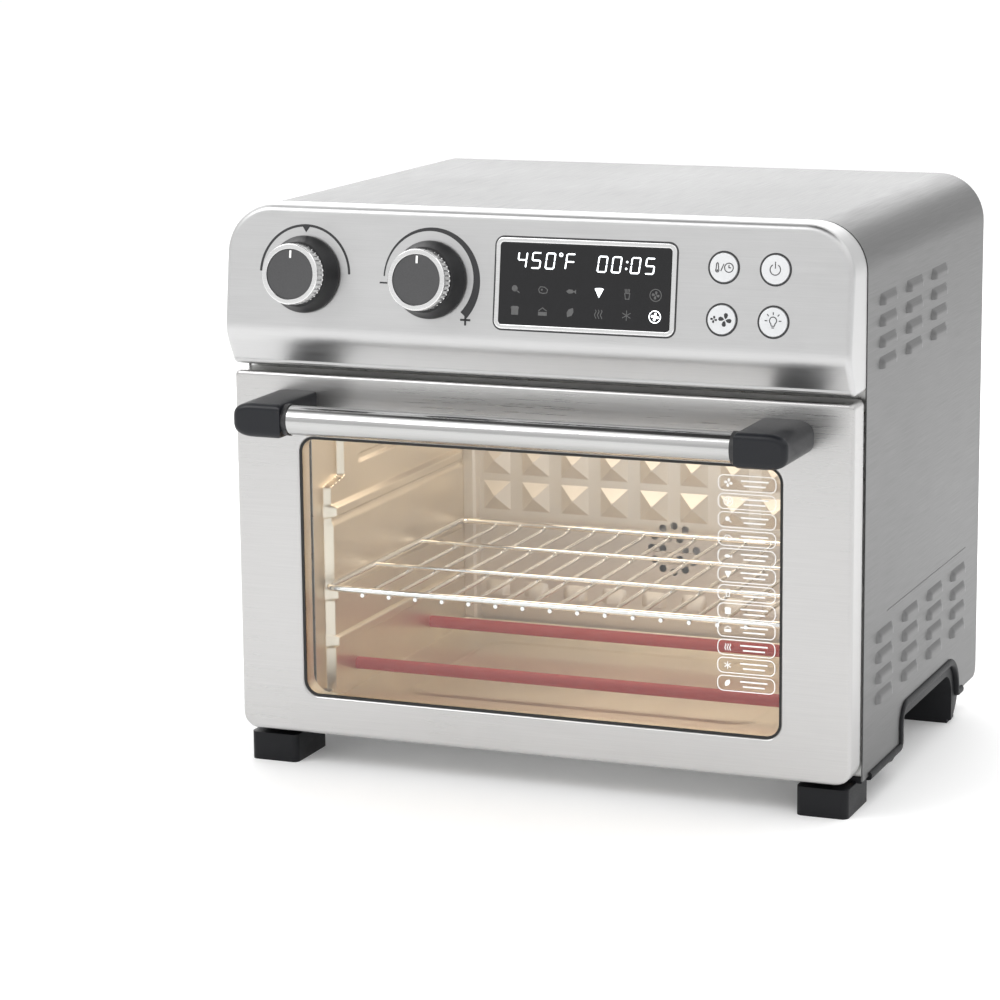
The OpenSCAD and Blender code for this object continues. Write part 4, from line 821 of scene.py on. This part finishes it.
def glass_print():
    """White frames down the right side of the glass, each with a generic symbol and two plain dashes."""
    y = GLASS_LO.y - 0.12
    m = Marks(lambda x, z: at(x, y, z))
    names = ("fan", "fan_ring", "drumstick", "steak", "fish", "slice", "cup", "toast", "cake", "heat",
             "snow", "leaf")
    for i, name in enumerate(names):
        z = PRINT_Z - PRINT_PITCH * i
        m.stroke(rounded(PRINT_X0, z - PRINT_HALF, PRINT_X1, z + PRINT_HALF, 3.4, 5), 0.55, closed=True)
        m.icon(name, PRINT_ICON_X, z, 2.9, 0.5)
        for dz, k in ((1.5, 1.0), (-1.5, 0.8)):
            m.stroke([(PRINT_LINE_X - 8.5 * k, z + dz), (PRINT_LINE_X + 8.5 * k, z + dz)], 0.9)
    m.put("glass_print", "ink_white", "door", "clear_glass")


BRACKET_NOSE, BRACKET_EDGE_R = 13, 4.0


def bracket(side):
    x0, x1 = BRK_LO.x, BRK_HI.x
    zc, h2 = (BRK_LO.z + BRK_HI.z) / 2, (BRK_HI.z - BRK_LO.z) / 2
    half = [(x0, 0.0, 0.0), (x0, h2 - 2.0, 0.0), (x0 + 0.6, h2 - 0.6, 0.4), (x0 + 2.0, h2, 0.6)]
    half += [(x, h2, 1.0) for x in (x0 + 8, x0 + 15)]
    for i in range(0, 13):
        a = math.radians(90 - 90 * i / 12)
        x = x1 - BRACKET_NOSE + BRACKET_NOSE * abs(math.cos(a)) ** 0.9
        half.append((x, h2 * abs(math.sin(a)) ** 0.62, 1.0))
    upper = [(x, zc + z, k) for x, z, k in half]
    lower = [(x, zc - z, k) for x, z, k in reversed(half[1:-1])]
    ring = list(reversed(upper)) + list(reversed(lower))
    pts = with_normals([(x, z) for x, z, k in ring])
    if sum(q.x * Vector(pts[(i + 1) % len(pts)][0]).y - Vector(pts[(i + 1) % len(pts)][0]).x * q.y
           for i, (q, n) in enumerate(pts)) < 0:
        ring.reverse()
        pts = with_normals([(x, z) for x, z, k in ring])
    y_face, y_back = BRK_LO.y, BRK_HI.y
    s = Shape()
    rings = []
    for y in (y_back, y_back - 0.5):
        rings.append([at(side * q.x, y, q.y) for q, n in pts])
    for i, d in fillet(BRACKET_EDGE_R, 8):
        out = []
        for (q, n), (x, z, k) in zip(pts, ring):
            nx = n.x if n.x > 0 else 0.0
            out.append(at(side * (q.x - nx * i), y_face + d, q.y - n.y * min(i, h2 - 2)))
        rings.append(out)
    s.loft(rings, cap=True, cap_start=True)
    name = "right" if side > 0 else "left"
    s.put("bracket_" + name, "handle_black", "door", "handle_black", nodes=("handle_bracket_" + name,),
          sharp=34)


# ---------- Cavity liner ----------

CAV_X, CAV_Z0, CAV_Z1 = 158.0, 34.0, 246.0
WALL_LO = mm_box("cavity_left_wall")[0]
BACK_Y = BACK_HI.y - 1.0


# Pressed shapes of the side walls: a step near the door, three rails and a groove
STEP_Y, STEP_BACK, STEP_Z = 16.0, 21.0, 171
STEP_LOW_Z, STEP_SLOPE = 146, 3.2
RAIL_TOPS, RAIL_H = (161.0, 107.7, 77.0), 8.6
GROOVE_Z0, GROOVE_Z1, GROOVE_D = 181.2, 184.2, 2.2
FRONT_PART = 44                   # the front part of each wall has the finer mesh


def wall_relief(y, z):
    """How far the pressed side wall stands into the cavity."""
    step = STEP_Y + STEP_BACK * ease((z - STEP_Z) / 5)
    wide = 1 - ease((z - STEP_LOW_Z) / 4)
    height = (4.4 + 1.4 * wide) * max(0.0, min(1.0, (y - step) / STEP_SLOPE))
    tail = 1 - ease((y - BACK_Y + 12) / 5)
    for top in RAIL_TOPS:
        height = max(height, RAIL_H * band(z, top - 8.0, top - 2.5, 2.4) * ease((y - 15) / 4) * tail)
    height -= GROOVE_D * band(z, GROOVE_Z0, GROOVE_Z1, 1.8) * ease((y - 62) / 3) * tail
    return height


def cavity_walls():
    y0, split = WALL_LO.y, FRONT_PART
    ys = [y0 + (split - y0) * i / 84 for i in range(84)]
    ys += [split + (BACK_Y - split) * i / 60 for i in range(61)]
    zs = [CAV_Z0 + (CAV_Z1 - CAV_Z0) * j / 265 for j in range(266)]
    for side, name in ((-1, "left"), (1, "right")):
        s = Shape()
        s.loft([[at(side * (CAV_X - wall_relief(y, z)), y, z) for y in ys] for z in zs], closed=False)
        s.put("liner_" + name, "liner_steel", "oven", "liner_steel", nodes=("cavity_%s_wall" % name,),
              sharp=60, weighted=False)


# Pressed shapes of the back wall, and the square with the fan's intake holes
DIMPLE_PITCH, DIMPLE_COLUMNS, DIMPLE_HALF = 28.6, 10, 10.0
DIMPLE = ((10.0, 0.0), (9.6, 0.12), (1.2, 4.7), (0.5, 5.0))
SLOT_HALF_W, SLOT_HALF_H, SLOT_OUT = 8.5, 5, 3
POST_X, INTAKE_X, INTAKE_Z = 142.0, 22.0, (77.5, 116.9)
POST = ((142.0, 0.0), (142.8, 1.6), (144.0, 3.4), (145.6, 4.2), (151.4, 4.2), (153.0, 3.4), (154.2, 1.6),
        (155.0, 0.0), (159.0, 0.0))


def cavity_back():
    columns = [DIMPLE_PITCH * (c - (DIMPLE_COLUMNS - 1) / 2) for c in range(DIMPLE_COLUMNS)]
    rows = [CAV_Z0 + 93 + 25 * r for r in range(4)]
    slots = (CAV_Z0 + 28, CAV_Z1 - 16)
    half, wide, tall = DIMPLE_HALF, SLOT_HALF_W, SLOT_HALF_H
    xs = {-POST_X, POST_X, -INTAKE_X, INTAKE_X}
    xs |= {x + d for x in columns for d in (-half, half, -wide, wide)}
    zs = {CAV_Z0 - 1, CAV_Z1 + 1, *INTAKE_Z} | {z + d for z in rows for d in (-half, half)}
    zs |= {z + d for z in slots for d in (-tall, tall)}
    xs, zs = sorted(xs), sorted(zs)
    s = Shape()
    for xa, xb in zip(xs, xs[1:]):
        for za, zb in zip(zs, zs[1:]):
            x, z = (xa + xb) / 2, (za + zb) / 2
            in_dimple = any(abs(x - c) < half for c in columns) and any(abs(z - r) < half for r in rows)
            in_slot = any(abs(x - c) < wide for c in columns) and any(abs(z - r) < tall for r in slots)
            in_intake = abs(x) < INTAKE_X and INTAKE_Z[0] < z < INTAKE_Z[1]
            if not (in_dimple or in_slot or in_intake):
                s.add([at(xa, BACK_Y, za), at(xb, BACK_Y, za), at(xb, BACK_Y, zb), at(xa, BACK_Y, zb)],
                      [(0, 1, 2, 3)])
    corners = ((-1, -1), (1, -1), (1, 1), (-1, 1))
    for x in columns:
        for z in rows:
            s.loft([[at(x + sx * h, BACK_Y - d, z + sz * h) for sx, sz in corners] for h, d in DIMPLE],
                   cap=True)
        for z in slots:
            hood = []
            for v in range(7):
                up = math.sin(v / 6 * math.pi / 2)
                rise = [min(1.0, min(u, 12 - u) / 3) ** 0.6 * up for u in range(13)]
                hood.append([at(x + (u / 6 - 1) * wide, BACK_Y - SLOT_OUT * rise[u], z + tall - v * 10 / 6)
                             for u in range(13)])
            s.loft(hood, closed=False)
    z0, z1 = INTAKE_Z
    mid = (z0 + z1) / 2 + 0.8
    holes = []
    for k in (1, 2):
        for i in range(6 * k):
            a = math.pi / 3 / k * i
            holes.append(circle(k * 8 * math.cos(a), mid + k * 8 * math.sin(a), 2.7, 14))
    square = [(-INTAKE_X, z0), (INTAKE_X, z0), (INTAKE_X, z1), (-INTAKE_X, z1)]
    s.fill([[at(x, BACK_Y, z) for x, z in loop] for loop in [square] + holes])
    for side in (-1, 1):
        s.loft([[at(side * x, BACK_Y - d, z) for x, d in POST] for z in (CAV_Z0 - 1, CAV_Z1 + 1)],
               closed=False)
    s.put("liner_back", "back_steel", "oven", "liner_steel", nodes=("cavity_back",), sheet=0.9, sharp=22,
          weighted=False)


# Section of the crumb tray from its outer edge inwards: (inset, height)
TRAY = ((0, 0.0), (0, 5.6), (0.3, 6.0), (0.7, 6.0), (1.0, 5.6), (1.6, 1.9), (2.8, 0.9), (5, 0.8), (36, 0.8),
        (37.5, 1.9), (41, 1.9), (42.5, 0.8))


def crumb_tray():
    lo, hi = mm_box("crumb_tray")
    rings = []
    for inset, z in TRAY:
        r = max(4.0, 9.0 - inset * 0.2) if inset < 30 else 16.0
        outline = rounded(lo.x + inset, lo.y + inset, hi.x - inset, hi.y - inset, r, 6)
        rings.append([at(x, y, lo.z + z) for x, y in outline])
    s = Shape()
    s.loft(rings, cap=True)
    s.put("tray", "liner_steel", "oven", "liner_steel", nodes=("crumb_tray",), sharp=40)


outer_wrap()
grip_lips()
control_panel()
display()
display_marks()
panel_marks()
knobs()
buttons()
door()
door_return()
glass_print()
bracket(1)
bracket(-1)
cavity_walls()
cavity_back()
crumb_tray()

# Rounded edges on the moulded base
RUNNER_EDGE = 0.8
for node in ("base_runner_left", "base_runner_right"):
    obj = frame["nodes"][node]
    obj.data.shade_smooth()
    weld = obj.modifiers.new("weld", "WELD")
    weld.merge_threshold = 1e-5
    bevel = obj.modifiers.new("edges", "BEVEL")
    bevel.width = RUNNER_EDGE * MM
    bevel.segments = 3
    bevel.limit_method = "ANGLE"
    bevel.angle_limit = math.radians(40)
    bevel.use_clamp_overlap = True
    bevel.harden_normals = True

# ---------- Stage, lights and camera ----------

def stage_floor():
    me = bpy.data.meshes.new("floor")
    size = 30.0
    corners = [(-size, -size, 0), (size, -size, 0), (size, size, 0), (-size, size, 0)]
    me.from_pydata(corners, [], [(0, 1, 2, 3)])
    floor = bpy.data.objects.new("floor", me)
    bpy.context.scene.collection.objects.link(floor)
    white = material("floor_white", (0.93, 0.93, 0.93), 0, 0.7, even(30), 0.02, 0.004, 0.0, blotch_tint=0.0)
    me.materials.append(glow(white, (1, 1, 1), 0.12))


def area_light(name, where, target, size, power, color=(1, 1, 1)):
    data = bpy.data.lights.new(name, "AREA")
    data.shape = "RECTANGLE"
    data.size, data.size_y = size
    data.energy = power
    data.color = color
    obj = bpy.data.objects.new(name, data)
    obj.location = where
    obj.rotation_mode = "QUATERNION"
    obj.rotation_quaternion = (Vector(target) - Vector(where)).to_track_quat("-Z", "Y")
    bpy.context.scene.collection.objects.link(obj)
    return obj


# Brightness of the room from straight down (0) over the horizon (0.5) to straight up (1)
ROOM = ((0.0, 0.62), (0.52, 0.60), (0.60, 0.58), (0.80, 0.80), (0.88, 0.95), (0.93, 1.0), (0.955, 0.05),
        (1.0, 0.04))
ROOM_STRENGTH = 1.5


def world():
    """Pale room that gets brighter with height, with a dark patch straight above."""
    w = bpy.data.worlds.new("studio")
    w.use_nodes = True
    nt = w.node_tree
    where = nt.nodes.new("ShaderNodeTexCoord")
    split = nt.nodes.new("ShaderNodeSeparateXYZ")
    to_unit = nt.nodes.new("ShaderNodeMapRange")
    to_unit.inputs["From Min"].default_value = -1
    ramp = nt.nodes.new("ShaderNodeValToRGB")
    ramp.color_ramp.elements[0].position = ROOM[0][0]
    ramp.color_ramp.elements[1].position = ROOM[-1][0]
    for position, value in ROOM[1:-1]:
        ramp.color_ramp.elements.new(position)
    for element, (position, value) in zip(ramp.color_ramp.elements, ROOM):
        element.color = (value, value, value, 1)
    bg = nt.nodes["Background"]
    bg.inputs["Strength"].default_value = ROOM_STRENGTH
    nt.links.new(where.outputs["Generated"], split.inputs[0])
    nt.links.new(split.outputs["Z"], to_unit.inputs["Value"])
    nt.links.new(to_unit.outputs[0], ramp.inputs["Fac"])
    nt.links.new(ramp.outputs["Color"], bg.inputs["Color"])
    bpy.context.scene.world = w


stage_floor()
world()
for light in (area_light("key", (-1.6, -1.8, 2.2), (0, 0, 0.15), (1.6, 1.2), 20),
              area_light("top", (0.3, 0.6, 2.4), (0, 0, 0.2), (2.0, 2.0), 26),
              area_light("back", (-1.0, 2.3, 0.95), (0, 0, 0.3), (2.6, 0.9), 13)):
    light.visible_camera = False
    light.visible_glossy = light.name != "top"
MID_Y = (BACK_Y * 0.45) * MM + Y_FRONT
area_light("cavity_light", (0, MID_Y, 0.222), (0, MID_Y, 0.1), (0.26, 0.14), 0.36, (1.0, 0.86, 0.68))

CAM_AT = Vector((0.727, -1.96925, 0.5832))
YAW, PITCH, ROLL = (math.radians(a) for a in (22.2, 11.5, -0.6))
look = Vector((-math.sin(YAW) * math.cos(PITCH), math.cos(YAW) * math.cos(PITCH), -math.sin(PITCH)))
right = Vector((math.cos(YAW), math.sin(YAW), 0))
up = right.cross(look)
cam_x = right * math.cos(ROLL) + up * math.sin(ROLL)
cam_y = up * math.cos(ROLL) - right * math.sin(ROLL)
cam_data = bpy.data.cameras.new("camera")
cam_data.lens = 120.5
cam_data.sensor_width = 36
cam_data.clip_start, cam_data.clip_end = 0.05, 100
cam = bpy.data.objects.new("camera", cam_data)
cam.matrix_world = Matrix((cam_x, cam_y, -look)).transposed().to_4x4()
cam.location = CAM_AT
bpy.context.scene.collection.objects.link(cam)
bpy.context.scene.camera = cam
bpy.context.scene.view_settings.view_transform = "Standard"

bpy.context.view_layer.update()
